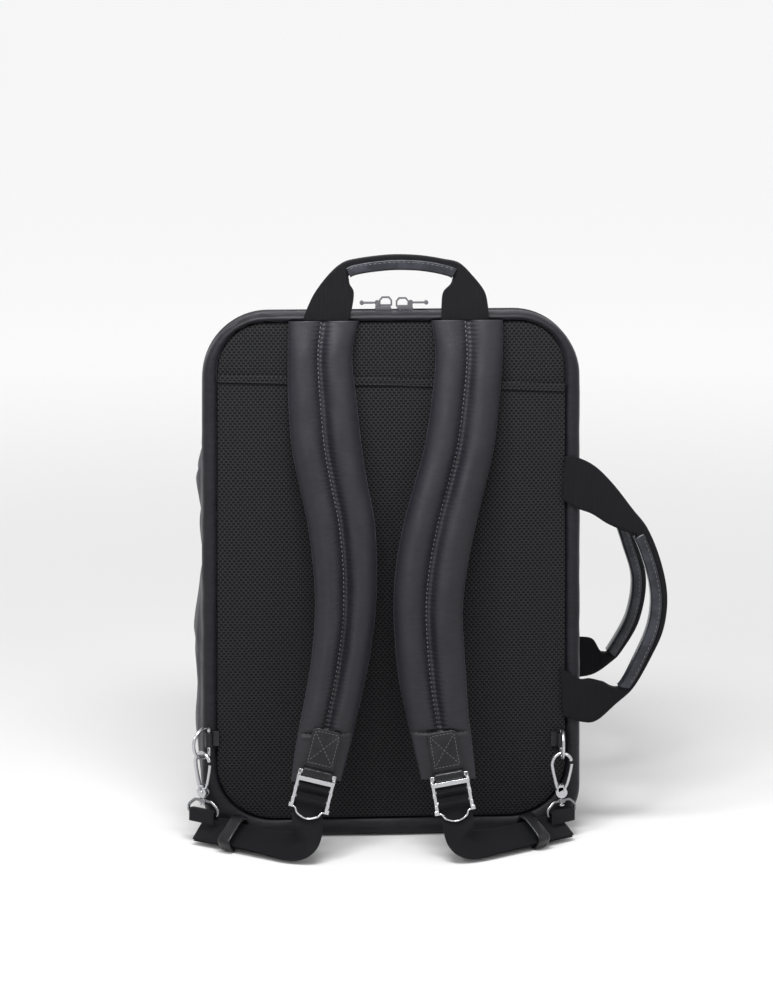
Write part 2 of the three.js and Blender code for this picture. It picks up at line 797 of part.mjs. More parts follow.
// The run of each webbing from under its buckle to its hook, as the middle of its two layers. Out is
// from the back's crest, and across points along its width.
const webbingRuns = {
  left: [
    { x: -69.5, out: 62.2, z: 36, across: v3(0.95, -0.05, -0.29) },
    { x: -69.5, out: 63, z: 28.2, across: v3(0.89, -0.19, -0.42) },
    { x: -71, out: 62.2, z: 20.2, across: v3(0.67, -0.43, -0.61) },
    { x: -76, out: 58.4, z: 14.2, across: v3(0.28, -0.64, -0.71) },
    { x: -84.5, out: 52.4, z: 11.6, across: v3(-0.15, -0.74, -0.65) },
    { x: -97, out: 42.6, z: 10.7, across: v3(-0.4, -0.74, -0.54) },
    { x: -117, out: 29, z: 10.8, across: v3(-0.5, -0.72, -0.48) },
    { x: -133, out: 18.4, z: 11.6, across: v3(-0.46, -0.66, -0.6) },
    { x: -144, out: 11, z: 11.3, across: v3(-0.45, -0.66, -0.6) },
    { x: -154, out: 4.2, z: 10.9, across: v3(-0.46, -0.68, -0.56) },
  ],
  right: [
    { x: 48.5, out: 62.2, z: 34, across: v3(0.97, 0.05, 0.22) },
    { x: 48.8, out: 63.6, z: 26.6, across: v3(0.91, 0.19, 0.36) },
    { x: 50.8, out: 64, z: 19.2, across: v3(0.69, 0.44, 0.58) },
    { x: 56.2, out: 61.8, z: 13.9, across: v3(0.29, 0.66, 0.7) },
    { x: 65.2, out: 56.2, z: 11.5, across: v3(-0.15, 0.75, 0.64) },
    { x: 80.5, out: 46.4, z: 10.6, across: v3(-0.4, 0.74, 0.53) },
    { x: 101, out: 34, z: 10.3, across: v3(-0.5, 0.72, 0.48) },
    { x: 117, out: 23.6, z: 10.7, across: v3(-0.47, 0.7, 0.54) },
    { x: 128, out: 16.4, z: 10.3, across: v3(-0.48, 0.72, 0.5) },
    { x: 139, out: 9.2, z: 9.9, across: v3(-0.48, 0.72, 0.48) },
  ],
};
const runSteps = 22;
const keeperShare = 0.73; // of the run, from the buckle to the hook

function webbingRows(side) {
  const rows = webbingRuns[side].map((row) => ({ ...row, y: backY - row.out }));
  return smoothRows(rows, runSteps);
}

// Section of a flat strip of webbing, as offsets across it and through it
function stripSection(width, thickness) {
  const [half, thin] = [width / 2, thickness / 2];
  return [
    [-half, -thin],
    [half, -thin],
    [half, thin],
    [-half, thin],
  ];
}

// Rows of a path given as depth and height in a frame, whose width lies along the frame's X.
function turnRows(turn, frame) {
  return turn.map(({ y, z }) => ({
    point: v3(0, y, z).applyMatrix4(frame),
    across: v3(1, 0, 0).transformDirection(frame),
  }));
}

// The webbing runs from the hook's end up to the buckle, turns in it, and comes back down in front
// of itself.
function adjusterWebbing(side) {
  const run = webbingRows(side);
  const frame = buckleMatrix(side);
  const layer = (shift) =>
    run.map((row) => ({
      point: row.point.clone().addScaledVector(row.normal, shift * (layerSpacing / 2)),
      across: row.side.clone(),
    }));
  const path = [
    ...layer(-1).reverse(),
    ...turnRows(webbingTurn, frame),
    ...layer(1),
  ];
  const section = stripSection(webbingWidth, webbingThickness);
  return loft(framed(path).map((row) => ringOn(row, section)));
}

// The chape is a short strip that hangs on the eye's lower bar, with both ends in the webbing.
const chapePath = [
  { y: -3, z: -7 },
  { y: -2.8, z: -3 },
  { y: -2.7, z: 1.2 },
  { y: -1.4, z: 2.7 },
  { y: 1.4, z: 2.7 },
  { y: 2.7, z: 1.2 },
  { y: 2.8, z: -2 },
  { y: 3, z: -5 },
];

function eyeChape(side) {
  const rows = framed(turnRows(chapePath, eyeMatrix(side)));
  return loft(rows.map((row) => ringOn(row, stripSection(webbingWidth, webbingThickness))));
}

// A leather keeper rides on the two layers near the hook.
function ovalRing(width, height, wall, length) {
  const steps = 16;
  const squash = (t) => Math.sign(t) * Math.abs(t) ** 0.45;
  const oval = (w, h) =>
    Array.from({ length: steps }, (_, k) => {
      const turn = (2 * Math.PI * k) / steps;
      return [(w / 2) * squash(Math.cos(turn)), (h / 2) * squash(Math.sin(turn))];
    });
  return plate(oval(width + 2 * wall, height + 2 * wall), length, [oval(width, height)]);
}

function keeper(side) {
  const run = webbingRows(side);
  const row = run[Math.round(keeperShare * (run.length - 1))];
  const made = ovalRing(webbingWidth + 2.6, keeperHeight, leather, keeperLength);
  const stack = layerSpacing + webbingThickness;
  const lift = (keeperHeight - stack) / 2 - fit * 6;
  const frame = new THREE.Matrix4().makeBasis(row.side, row.along.clone().negate(), row.normal);
  frame.setPosition(row.point.clone().addScaledVector(row.normal, lift));
  return made.applyMatrix4(frame);
}

// Snap hook: a pear-shaped frame with a sprung gate, on a swivel in a wire eye

const hookFrames = {
  left: { x: -151, out: 8.6, rivetZ: 43, turn: -42, eyeTurn: -35 },
  right: { x: 135.5, out: 10.7, rivetZ: 38.6, turn: 0, eyeTurn: 34 },
};

// Half width of the hook's outline at each height above the rivet, as shares
const pearRows = [
  { height: -0.13, half: 0.36 },
  { height: 0, half: 0.5 },
  { height: 0.14, half: 0.58 },
  { height: 0.36, half: 0.78 },
  { height: 0.56, half: 0.94 },
  { height: 0.7, half: 1 },
  { height: 0.82, half: 0.9 },
  { height: 0.92, half: 0.66 },
  { height: 0.98, half: 0.34 },
];

// Half width of the hook's outline at one height above the rivet.
function pearHalf(z) {
  const k = pearRows.findIndex(({ height }) => height * hookHeight > z);
  const [below, above] = [pearRows[k - 1], pearRows[k]];
  const share = (z / hookHeight - below.height) / (above.height - below.height);
  return (mix(below.half, above.half, share) * hookWidth) / 2;
}

// The outline drawn in by inset. A hole has a flat foot at the height it starts from.
function pearOutline(inset, from) {
  const rows = pearRows
    .map(({ height, half }) => [(half * hookWidth) / 2 - inset, height * hookHeight])
    .filter(([half, z]) => z > from && z <= hookHeight - inset * 1.15 && half > 0.4);
  if (inset > 0) rows.unshift([pearHalf(from) - inset, from]);
  const right = rows.map(([half, z]) => [half, z]);
  const left = [...rows].reverse().map(([half, z]) => [-half, z]);
  const crown = [[0, hookHeight - inset]];
  return [...right, ...crown, ...left];
}

const gateFoot = 5.2; // height above the rivet where the gate's arm begins
const gateHead = hookHeight * 0.72;
const gateRelief = 1.3; // room above the gate's end, for its swing

function gateZone(margin) {
  return plate(
    [
      [0.9 - margin, gateFoot - margin],
      [hookWidth, gateFoot - margin],
      [hookWidth, gateHead + (margin ? gateRelief : 0)],
      [0.9 - margin, gateHead + (margin ? gateRelief : 0)],
    ],
    hookThickness + 4,
  );
}

function hookFrame() {
  const pear = plate(pearOutline(0, -hookHeight), hookThickness, [pearOutline(hookWire, gateFoot - fit)]);
  const cheek = barAt(hookBase, hookThickness + 1.4, "y", 0, 0, 0, 16);
  const slot = boxAt(hookWidth, gateSlot, gateFoot + 9, 2.2, 0, (gateFoot + 9) / 2 - 3.4);
  const rivet = barAt(rivetRadius, hookThickness + 2.2, "y", 0, 0, 0, 10);
  const post = barAt(postRadius, bossHeight + 2 * fit + 3.4, "z", 0, 0, postMiddle);
  const head = barAt(postHeadRadius, postHead, "z", 0, 0, postMiddle - postReach);
  const frame = joined(pear, cheek).subtract(solid(gateZone(fit))).subtract(solid(slot));
  return geometryOf(frame.add(solid(rivet)).add(solid(post)).add(solid(head)));
}
const postReach = (bossHeight + 2 * fit + 3.4) / 2 + postHead / 2 - 0.2;
const postMiddle = -hookBase - 0.2 - bossHeight / 2;
const bossMiddle = postMiddle - 0.5;

function hookGate() {
  const arm = solid(plate(pearOutline(0, -hookHeight), hookThickness - 0.6, [pearOutline(hookWire - fit, gateFoot - fit)]));
  const tongue = plate(
    [
      [-1.7, -1.4],
      [1.4, -1.8],
      [4.6, gateFoot + 1.4],
      [2.6, gateFoot + 1.4],
      [-1.2, 1.5],
    ],
    gateTongue,
  );
  const knuckle = barAt(2, gateTongue, "y", 0, 0, 0, 14);
  const bore = barAt(rivetRadius + fit, hookThickness, "y", 0, 0, 0, 12);
  const made = arm.intersect(solid(gateZone(0))).add(solid(tongue)).add(solid(knuckle));
  return geometryOf(made.subtract(solid(bore)));
}

// The swivel's eye is a rounded trapezoid of wire under a bored boss.
function swivelEye() {
  const top = eyeTop;
  const eye = (inset) => [
    [-eyeWidth / 2 + inset, top - eyeHeight + inset],
    [eyeWidth / 2 - inset, top - eyeHeight + inset],
    [eyeWidth / 2 - inset, top - eyeHeight * 0.5],
    [eyeWidth * 0.26 - inset * 0.5, top - inset],
    [-eyeWidth * 0.26 + inset * 0.5, top - inset],
    [-eyeWidth / 2 + inset, top - eyeHeight * 0.5],
  ];
  const wire = plate(eye(0), eyeWire, [eye(eyeWire)]);
  const boss = barAt(bossRadius, bossHeight, "z", 0, 0, bossMiddle, 14);
  const bore = barAt(postRadius + fit, bossHeight * 3, "z", 0, 0, bossMiddle, 12);
  const below = bossMiddle - bossHeight / 2;
  const headRoom = barAt(postHeadRadius + fit, 4, "z", 0, 0, below - 2, 12);
  return geometryOf(joined(wire, boss).subtract(solid(bore)).subtract(solid(headRoom)));
}

// The eye's own frame: its lower bar's middle, turned about the swivel.
const eyeTop = bossMiddle - bossHeight / 2 + eyeWire;

function eyeMatrix(side) {
  const { x, out, rivetZ, eyeTurn: angle } = hookFrames[side];
  const turn = new THREE.Matrix4().makeRotationZ(THREE.MathUtils.degToRad(angle));
  const barZ = rivetZ + eyeTop - eyeHeight + eyeWire / 2;
  return new THREE.Matrix4().makeTranslation(x, backY - out, barZ).multiply(turn);
}

for (const side of ["left", "right"]) {
  const { x, out, rivetZ, turn, eyeTurn: eyeAngle } = hookFrames[side];
  const pieces = [
    [`snap_hook_${side}`, hookFrame(), gunmetal, turn],
    [`hook_gate_${side}`, hookGate(), gunmetal, turn],
    [`swivel_eye_${side}`, swivelEye(), darkMetal, eyeAngle],
  ];
  for (const [name, geometry, finish, angle] of pieces) {
    const mesh = add(name, geometry, finish);
    mesh.position.set(x, backY - out, rivetZ);
    mesh.rotation.z = THREE.MathUtils.degToRad(angle);
  }
  add(`adjuster_webbing_${side}`, adjusterWebbing(side), webCloth);
  add(`eye_chape_${side}`, eyeChape(side), webCloth);
  add(`strap_keeper_${side}`, keeper(side), hide);
}

// D-ring: its straight bar stands upright in a tab on the back's border, and its bow points away
// from the bag, with the hook's crown through its lower leg.
const ringFrames = {
  left: { x: -145.8, out: 3.7, turn: -45 },
  right: { x: 135.5, out: 3.7, turn: 0 },
};
const ringLeg = 5; // straight part of the D's legs
const crownGap = 2; // from the hook's crown down to the D's lower leg

function dOutline(inset) {
  const half = ringHeight / 2 - inset;
  const steps = 14;
  const bow = Array.from({ length: steps + 1 }, (_, k) => {
    const turn = Math.PI * (k / steps) - Math.PI / 2;
    return [ringLeg + half * Math.cos(turn), half * Math.sin(turn)];
  });
  return [[-ringWire / 2 + inset, -half], ...bow, [-ringWire / 2 + inset, half]];
}

function ringMiddle(side) {
  const crownInside = hookFrames[side].rivetZ + hookHeight - hookWire;
  return crownInside - ringWire + ringHeight / 2 - crownGap;
}

function dRing(side) {
  const { x, out, turn } = ringFrames[side];
  const ring = plate(dOutline(0), ringWire, [dOutline(ringWire)]);
  ring.rotateZ(THREE.MathUtils.degToRad(turn - 90));
  return ring.translate(x, backY - out, ringMiddle(side));
}

// The tab is a loop round the bar, with a flap that lies on the border.
function ringTab(side) {
  const { x, out } = ringFrames[side];
  const inward = side === "left" ? 1 : -1;
  const bore = (ringWire / 2) * Math.SQRT2 + fit;
  const outer = bore + tabThickness;
  const loop = barAt(outer, tabWidth, "z", 0, 0, 0, 14);
  const flap = boxAt(
    tabFlap,
    tabThickness * 1.3,
    tabWidth,
    (inward * tabFlap) / 2,
    outer - tabThickness * 0.65,
    0,
  );
  const made = joined(loop, flap).subtract(solid(barAt(bore, tabWidth * 2, "z", 0, 0, 0, 12)));
  return geometryOf(made).translate(x, backY - out, ringMiddle(side) + 2);
}

for (const side of ["left", "right"]) {
  add(`d_ring_${side}`, dRing(side), gunmetal);
  add(`ring_tab_${side}`, ringTab(side), hide);
}

// Handles: webbing that is flat at its two ends and folded lengthwise under a leather grip.
// Each row gives the outer and inner edge of the webbing as seen from the back, how far it stands out
// from the bag's face, and how thick it is there. The top handle's heights are from the bag's top
// edge, and the side handles' X from its side edge.
const topHandleRows = [
  { outX: -69.4, outZ: -5.2, inX: -33.6, inZ: -5.8, out: 1.5, thick: 2.2 },
  { outX: -64.6, outZ: 7, inX: -30.6, inZ: 6, out: 1, thick: 2.3 },
  { outX: -58.6, outZ: 18, inX: -29.6, inZ: 16.6, out: -0.4, thick: 3.4 },
  { outX: -48, outZ: 30.8, inX: -32.6, inZ: 22.6, out: -3, thick: 7.4 },
  { outX: -37.4, outZ: 39, inX: -32, inZ: 27.6, out: -5, thick: 9.4 },
  { outX: -25, outZ: 42, inX: -22.4, inZ: 30.4, out: -6.2, thick: 9.6 },
  { outX: -6, outZ: 44.2, inX: -5, inZ: 32.4, out: -7, thick: 9.6 },
  { outX: 8, outZ: 44.6, inX: 8, inZ: 32.8, out: -7, thick: 9.6 },
  { outX: 24, outZ: 43.6, inX: 22.6, inZ: 32, out: -7, thick: 9.6 },
  { outX: 40, outZ: 41, inX: 37, inZ: 29.6, out: -6.2, thick: 9.6 },
  { outX: 52.4, outZ: 38, inX: 46, inZ: 26.6, out: -5, thick: 9.4 },
  { outX: 62.6, outZ: 28.4, inX: 45.6, inZ: 22, out: -3, thick: 7.4 },
  { outX: 71.6, outZ: 16.6, inX: 39.6, inZ: 16, out: -0.4, thick: 3.4 },
  { outX: 74.4, outZ: 5, inX: 38.2, inZ: 5.6, out: 1, thick: 2.3 },
  { outX: 75, outZ: -5.4, inX: 38.2, inZ: -5.6, out: 1.5, thick: 2.2 },
];
const backHandleRows = [
  { outX: -14, outZ: 311, inX: -15.6, inZ: 275.6, out: 1.6, thick: 2.2 },
  { outX: -4, outZ: 309.8, inX: -4.4, inZ: 269, out: 1.6, thick: 2.2 },
  { outX: 10, outZ: 302.6, inX: 7.4, inZ: 264.6, out: 2.4, thick: 2.3 },
  { outX: 24.6, outZ: 288, inX: 19.4, inZ: 257, out: 3.4, thick: 3 },
  { outX: 39.4, outZ: 269, inX: 31, inZ: 251.6, out: 4.8, thick: 6.6 },
  { outX: 51.8, outZ: 252.8, inX: 40.4, inZ: 246, out: 5.6, thick: 9.4 },
  { outX: 62.4, outZ: 226.8, inX: 50, inZ: 221.6, out: 6, thick: 9.6 },
  { outX: 68, outZ: 199, inX: 54.6, inZ: 198.4, out: 6.4, thick: 9.6 },
  { outX: 65.6, outZ: 172, inX: 52.6, inZ: 175.4, out: 6.6, thick: 9.6 },
  { outX: 55.6, outZ: 147.8, inX: 44, inZ: 152.6, out: 6.6, thick: 9.6 },
  { outX: 42.4, outZ: 123.6, inX: 30, inZ: 125.4, out: 6, thick: 9.4 },
  { outX: 28.6, outZ: 109.4, inX: 17.4, inZ: 128.6, out: 5, thick: 6 },
  { outX: 14, outZ: 95.4, inX: 7.6, inZ: 130.6, out: 3, thick: 2.6 },
  { outX: 2.4, outZ: 94, inX: -1.4, inZ: 130.4, out: 2, thick: 2.2 },
  { outX: -13, outZ: 99, inX: -15.6, inZ: 139.4, out: 1.6, thick: 2.2 },
];
const frontHandleRows = [
  { outX: -12, outZ: 305, inX: -14, inZ: 268, out: 1.8, thick: 2.2 },
  { outX: 0, outZ: 302, inX: -2, inZ: 264, out: 2, thick: 2.2 },
  { outX: 14, outZ: 294, inX: 9, inZ: 259, out: 2.4, thick: 2.4 },
  { outX: 28, outZ: 278, inX: 21, inZ: 250, out: 2.6, thick: 3.4 },
  { outX: 41.4, outZ: 257, inX: 32, inZ: 242, out: 3, thick: 7 },
  { outX: 51.4, outZ: 240, inX: 40, inZ: 234.4, out: 3, thick: 9.4 },
  { outX: 60.4, outZ: 215.4, inX: 48.4, inZ: 211.6, out: 3, thick: 9.6 },
  { outX: 68.6, outZ: 183, inX: 56, inZ: 184.4, out: 3, thick: 9.6 },
  { outX: 63.4, outZ: 148, inX: 52.4, inZ: 154.6, out: 3, thick: 9.6 },
  { outX: 49.4, outZ: 122.2, inX: 40, inZ: 129.4, out: 3, thick: 9.6 },
  { outX: 40.4, outZ: 112.4, inX: 32.4, inZ: 121, out: 2.6, thick: 8.4 },
  { outX: 27, outZ: 102.4, inX: 24.4, inZ: 132.4, out: 2.4, thick: 4 },
  { outX: 13.6, outZ: 99.4, inX: 11.6, inZ: 134.6, out: 2.2, thick: 2.4 },
  { outX: 0.6, outZ: 100, inX: -1, inZ: 135.4, out: 2, thick: 2.2 },
  { outX: -12, outZ: 103, inX: -14, inZ: 138.6, out: 1.8, thick: 2.2 },
];
const handleSteps = 28;
const gripDepth = 8.2; // how far the leather reaches from the inner edge

function handleStations({ rows, x: fromX, z: fromZ, face, outward }) {
  const curve = (x, z) =>
    new THREE.CatmullRomCurve3(
      rows.map((r) => v3(fromX + r[x], face + outward * r.out, fromZ + r[z])),
      false,
      "centripetal",
    );
  const [outer, inner] = [curve("outX", "outZ"), curve("inX", "inZ")];
  return Array.from({ length: handleSteps + 1 }, (_, i) => {
    const at = (i / handleSteps) * (rows.length - 1);
    const k = Math.min(rows.length - 2, Math.floor(at));
    return {
      outer: outer.getPoint(i / handleSteps),
      inner: inner.getPoint(i / handleSteps),
      thick: mix(rows[k].thick, rows[k + 1].thick, at - k),
    };
  });
}

// Places a section point: a runs in millimetres from the inner edge towards the outer edge, and b
// runs forward.
function onStation({ outer, inner }, a, b) {
  const out = outer.clone().sub(inner).normalize();
  return inner.clone().addScaledVector(out, a).add(v3(0, b, 0));
}

function handleCore(handle) {
  const [first, last] = handle.grip;
  const rings = handleStations(handle).map((station, i) => {
    const width = station.outer.distanceTo(station.inner);
    const half = station.thick / 2;
    const gripped = i >= first - 1 && i <= last + 1;
    const start = gripped ? gripLeather + fit : 0;
    const round = Math.min(half, (width - start) / 2) * 0.6;
    return [
      [start, -half + round],
      [start + round, -half],
      [width - round, -half],
      [width, -half + round],
      [width, half - round],
      [width - round, half],
      [start + round, half],
      [start, half - round],
    ].map(([a, b]) => onStation(station, a, b));
  });
  return loft(rings);
}

// The grip is a channel of leather round the inner side of the folded webbing.
function handleGrip(handle) {
  const [first, last] = handle.grip;
  const stations = handleStations(handle).slice(first, last + 1);
  const bend = 2.6;
  const inside = { half: 4.8 + fit, floor: gripLeather };
  const outside = inside.half + gripLeather;
  const outline = [
    [gripDepth, -outside],
    [bend, -outside],
    [0, -outside + bend],
    [0, outside - bend],
    [bend, outside],
    [gripDepth, outside],
    [gripDepth, inside.half],
    [inside.floor, inside.half],
    [inside.floor, -inside.half],
    [gripDepth, -inside.half],
  ];
  const rings = stations.map((station) => outline.map(([a, b]) => onStation(station, a, b)));
  return sectionLoft(rings, outline);
}

// Grip gives the first and last station that the leather covers.
const sideX = bagWidth / 2;
const handles = {
  top: { rows: topHandleRows, x: 0, z: bagHeight, face: backY, outward: -1, grip: [8, 20] },
  back: { rows: backHandleRows, x: sideX, z: 0, face: backY, outward: -1, grip: [10, 20] },
  front: { rows: frontHandleRows, x: sideX, z: 0, face: frontY, outward: 1, grip: [10, 19] },
};
for (const [place, handle] of Object.entries(handles)) {
  add(`${place}_handle`, handleCore(handle), webCloth);
  add(`${place}_handle_grip`, handleGrip(handle), hide);
}

export default group;
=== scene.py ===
# Looks of a convertible backpack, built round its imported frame. Sizes below are in millimetres.
import math

import bpy
import numpy as np
from mathutils import Matrix, Vector, noise


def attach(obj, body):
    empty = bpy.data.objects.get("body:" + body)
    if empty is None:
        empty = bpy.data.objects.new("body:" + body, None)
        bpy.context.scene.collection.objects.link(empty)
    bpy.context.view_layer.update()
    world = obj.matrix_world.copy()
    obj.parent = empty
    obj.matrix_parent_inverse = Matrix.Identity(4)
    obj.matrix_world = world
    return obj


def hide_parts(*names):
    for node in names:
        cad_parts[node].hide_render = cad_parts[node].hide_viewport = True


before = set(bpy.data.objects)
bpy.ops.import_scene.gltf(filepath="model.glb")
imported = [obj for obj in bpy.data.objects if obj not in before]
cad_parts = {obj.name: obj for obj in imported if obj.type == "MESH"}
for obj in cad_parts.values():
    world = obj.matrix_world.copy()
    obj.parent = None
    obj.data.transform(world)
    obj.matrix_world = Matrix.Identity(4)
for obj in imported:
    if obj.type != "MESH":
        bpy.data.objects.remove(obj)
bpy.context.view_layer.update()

MM = 0.001
bevel_segments = 3
bevel_angle = 28  # edges that turn further than this are rounded, in degrees

# Bag
bag_width = 300
bag_height = 425
bag_depth = 110
back_y = -bag_depth / 2
front_y = bag_depth / 2
side_taper = 0.02
top_fall = 24  # how far the empty top sinks behind the zip
top_radius = 52
bottom_radius = 38
panel_recess = 7
front_dome = 4.2  # how far the front panel swells
bed_y = back_y + panel_recess
panel_front = back_y + 3.1
sleeve_front = back_y + 0.4
sleeve_top = 374
hem_width = 6.2
zip_setback = 14
zip_slot = 10
zip_end = 95
slot_depth = 3.6
coil_radius = 0.42
coil_pitch = 1.55
strap_middle = 2.5

body_outline = {"half": bag_width / 2, "bottom": 0, "top": bag_height,
                "top_radius": top_radius, "bottom_radius": bottom_radius}
panel_outline = {"half": bag_width / 2 - 12, "bottom": 16, "top": bag_height - 7,
                 "top_radius": 38, "bottom_radius": 46}

# Camera, at the photograph's viewing angle
camera_azimuth = -3
camera_pitch = 12
camera_distance = 2200
camera_lens = 100.9
camera_aim = Vector((-4.3, -55, 277))


# Curves and meshes

def through(rows, steps):
    """Points on a smooth curve through the rows, column by column."""
    rows = np.array(rows, float)
    padded = np.vstack([2 * rows[0] - rows[1], rows, 2 * rows[-1] - rows[-2]])
    at = np.linspace(0, len(rows) - 1, steps + 1)
    k = np.minimum(at.astype(int), len(rows) - 2)
    t = (at - k)[:, None]
    a, b, c, d = (padded[k + i] for i in range(4))
    bend = (2 * a - 5 * b + 4 * c - d) * t**2 + (3 * b - a - 3 * c + d) * t**3
    return 0.5 * (2 * b + (c - a) * t + bend)


def unit(v):
    return v / np.maximum(np.linalg.norm(v, axis=-1, keepdims=True), 1e-9)


def squash(wave, power):
    """A sine or cosine made squarer, which keeps its sign."""
    return np.sign(wave) * np.abs(wave) ** power


def full_turn(count):
    """Angles all the way round, evenly spaced."""
    return np.linspace(0, 2 * math.pi, count, endpoint=False)


def run_along(points):
    """How far along a path each of its points lies."""
    steps = np.linalg.norm(np.diff(points, axis=0), axis=1)
    return np.concatenate([[0], np.cumsum(steps)])


def upright(x, y, z):
    """Points that all lie at one depth."""
    return np.stack([x, np.full(len(x), float(y)), z], 1)


def sampled(run, values, at):
    """Rows of values read at places along a run."""
    return np.stack([np.interp(at, run, values[:, i]) for i in range(3)], 1)


def smoothstep(low, high, x):
    t = np.clip((x - low) / (high - low), 0, 1)
    return t * t * (3 - 2 * t)


def skin(rings, caps=True, loop=False):
    """Points and faces of a tube through rings of equal size, closed by fans."""
    rings = np.array(rings, float)
    count, around = rings.shape[:2]
    points = rings.reshape(-1, 3)
    faces = []
    for r in range(count if loop else count - 1):
        a = r * around
        b = ((r + 1) % count) * around
        for k in range(around):
            m = (k + 1) % around
            faces.append((a + k, a + m, b + m, b + k))
    if caps and not loop:
        hubs = [rings[0].mean(0), rings[-1].mean(0)]
        points = np.vstack([points, hubs])
        first, last = len(points) - 2, len(points) - 1
        end = (count - 1) * around
        for k in range(around):
            m = (k + 1) % around
            faces.append((first, m, k))
            faces.append((last, end + k, end + m))
    return points, faces


def merged(*parts):
    points, faces, start = [], [], 0
    for p, f in parts:
        points.append(p)
        faces.extend(tuple(i + start for i in face) for face in f)
        start += len(p)
    return np.vstack(points), faces


def moved(part, matrix):
    m = np.array(matrix, float)
    points, faces = part
    return points @ m[:3, :3].T + m[:3, 3], faces


def add_piece(name, part, material, replaces=(), bevel=0, body="bag"):
    """Makes a piece of the model that moves with a body and shows in place of the replaced nodes."""
    points, faces = part
    mesh = bpy.data.meshes.new(name)
    mesh.from_pydata((np.array(points) * MM).tolist(), [], faces)
    mesh.validate()
    obj = bpy.data.objects.new(name, mesh)
    bpy.context.scene.collection.objects.link(obj)
    face_outwards(obj)
    mesh.shade_smooth()
    if bevel:
        round_edges(obj, bevel)
    mesh.materials.append(material)
    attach(obj, body)
    if replaces:
        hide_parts(*replaces)
    return obj


def face_outwards(obj):
    """Turns every closed part of the mesh to face out."""
    bpy.context.view_layer.objects.active = obj
    obj.select_set(True)
    bpy.ops.object.mode_set(mode="EDIT")
    bpy.ops.mesh.select_all(action="SELECT")
    bpy.ops.mesh.normals_make_consistent(inside=False)
    bpy.ops.object.mode_set(mode="OBJECT")
    obj.select_set(False)


def round_edges(obj, size):
    made = obj.modifiers.new("rounded", "BEVEL")
    made.width = size * MM
    made.segments = bevel_segments
    made.limit_method = "ANGLE"
    made.angle_limit = math.radians(bevel_angle)
    made.harden_normals = True


def ellipse(a, b, around):
    turn = full_turn(around)
    return np.stack([a * np.cos(turn), b * np.sin(turn)], 1)


def rounded_strip(width, thickness, around=24):
    """Section of a flat strip with rounded edges, as across and through."""
    turn = full_turn(around)
    across = squash(np.cos(turn), 0.22) * width / 2
    through_it = squash(np.sin(turn), 0.8) * thickness / 2
    return np.stack([across, through_it], 1)


def framed(points, across):
    """Direction, normal and side of a path whose width lies along across."""
    along = unit(np.gradient(points, axis=0))
    normal = unit(np.cross(along, across))
    return along, normal, unit(np.cross(normal, along))


def sweep(points, across, section):
    """Rings of a section carried along a path. A section may change from row to row."""
    _, normal, side = framed(points, across)
    section = np.broadcast_to(section, (len(points),) + np.shape(section)[-2:])
    return (points[:, None] + side[:, None] * section[:, :, :1]
            + normal[:, None] * section[:, :, 1:2])


def wire(points, radius, around=12, loop=False, flat=1.0):
    """A round or flattened bar that follows points which lie in about one plane."""
    points = np.array(points, float)
    if loop:
        ahead = np.roll(points, -1, 0) - np.roll(points, 1, 0)
    else:
        ahead = np.gradient(points, axis=0)
    along = unit(ahead)
    third, quarter = points[len(points) // 3], points[-1 - len(points) // 4]
    plane = unit(np.cross(third - points[0], quarter - points[0]))
    side = unit(np.cross(along, plane))
    radius = np.broadcast_to(radius, len(points))[:, None, None]
    section = ellipse(1, 1, around)
    spread = side[:, None] * section[:, :1] + plane * section[:, 1:] * flat
    rings = points[:, None] + radius * spread
    return skin(rings, caps=not loop, loop=loop)


def stitch_row(points, normals, length, gap, radius):
    """Separate stitches along a line of points, each half sunk in what it holds."""
    points = np.array(points, float)
    run = run_along(points)
    count = max(1, int(run[-1] / (length + gap)))
    starts = (np.arange(count) + 0.5) * run[-1] / count
    middles = sampled(run, points, starts)
    ahead = sampled(run, points, starts + length / 4)
    along = unit(ahead - sampled(run, points, starts - length / 4))
    up = unit(sampled(run, np.array(normals, float), starts))
    side = unit(np.cross(up, along))
    rings = []
    for share, wide in [(-0.5, 0.35), (-0.34, 1), (0.34, 1), (0.5, 0.35)]:
        centre = middles + along * share * length + up * (wide - 0.8) * radius
        rings.append([centre + radius * wide * (side * math.cos(t) + up * math.sin(t))
                      for t in full_turn(6)])
    rings = np.array(rings).transpose(2, 0, 1, 3)
    return merged(*[skin(r) for r in rings])


def rough(p, size, seed):
    """Smooth noise from -1 to 1 at a point, with features of about that size."""
    return noise.noise(Vector((p[0] / size + seed, p[1] / size + seed * 0.37, p[2] / size)))


def roughs(points, size, seed):
    return np.array([rough(p, size, seed) for p in points])


# Materials

cloth_shine = 0.16
thread_pitch = 0.62
noise_roughness = 0.55
leather_grain = 1.0


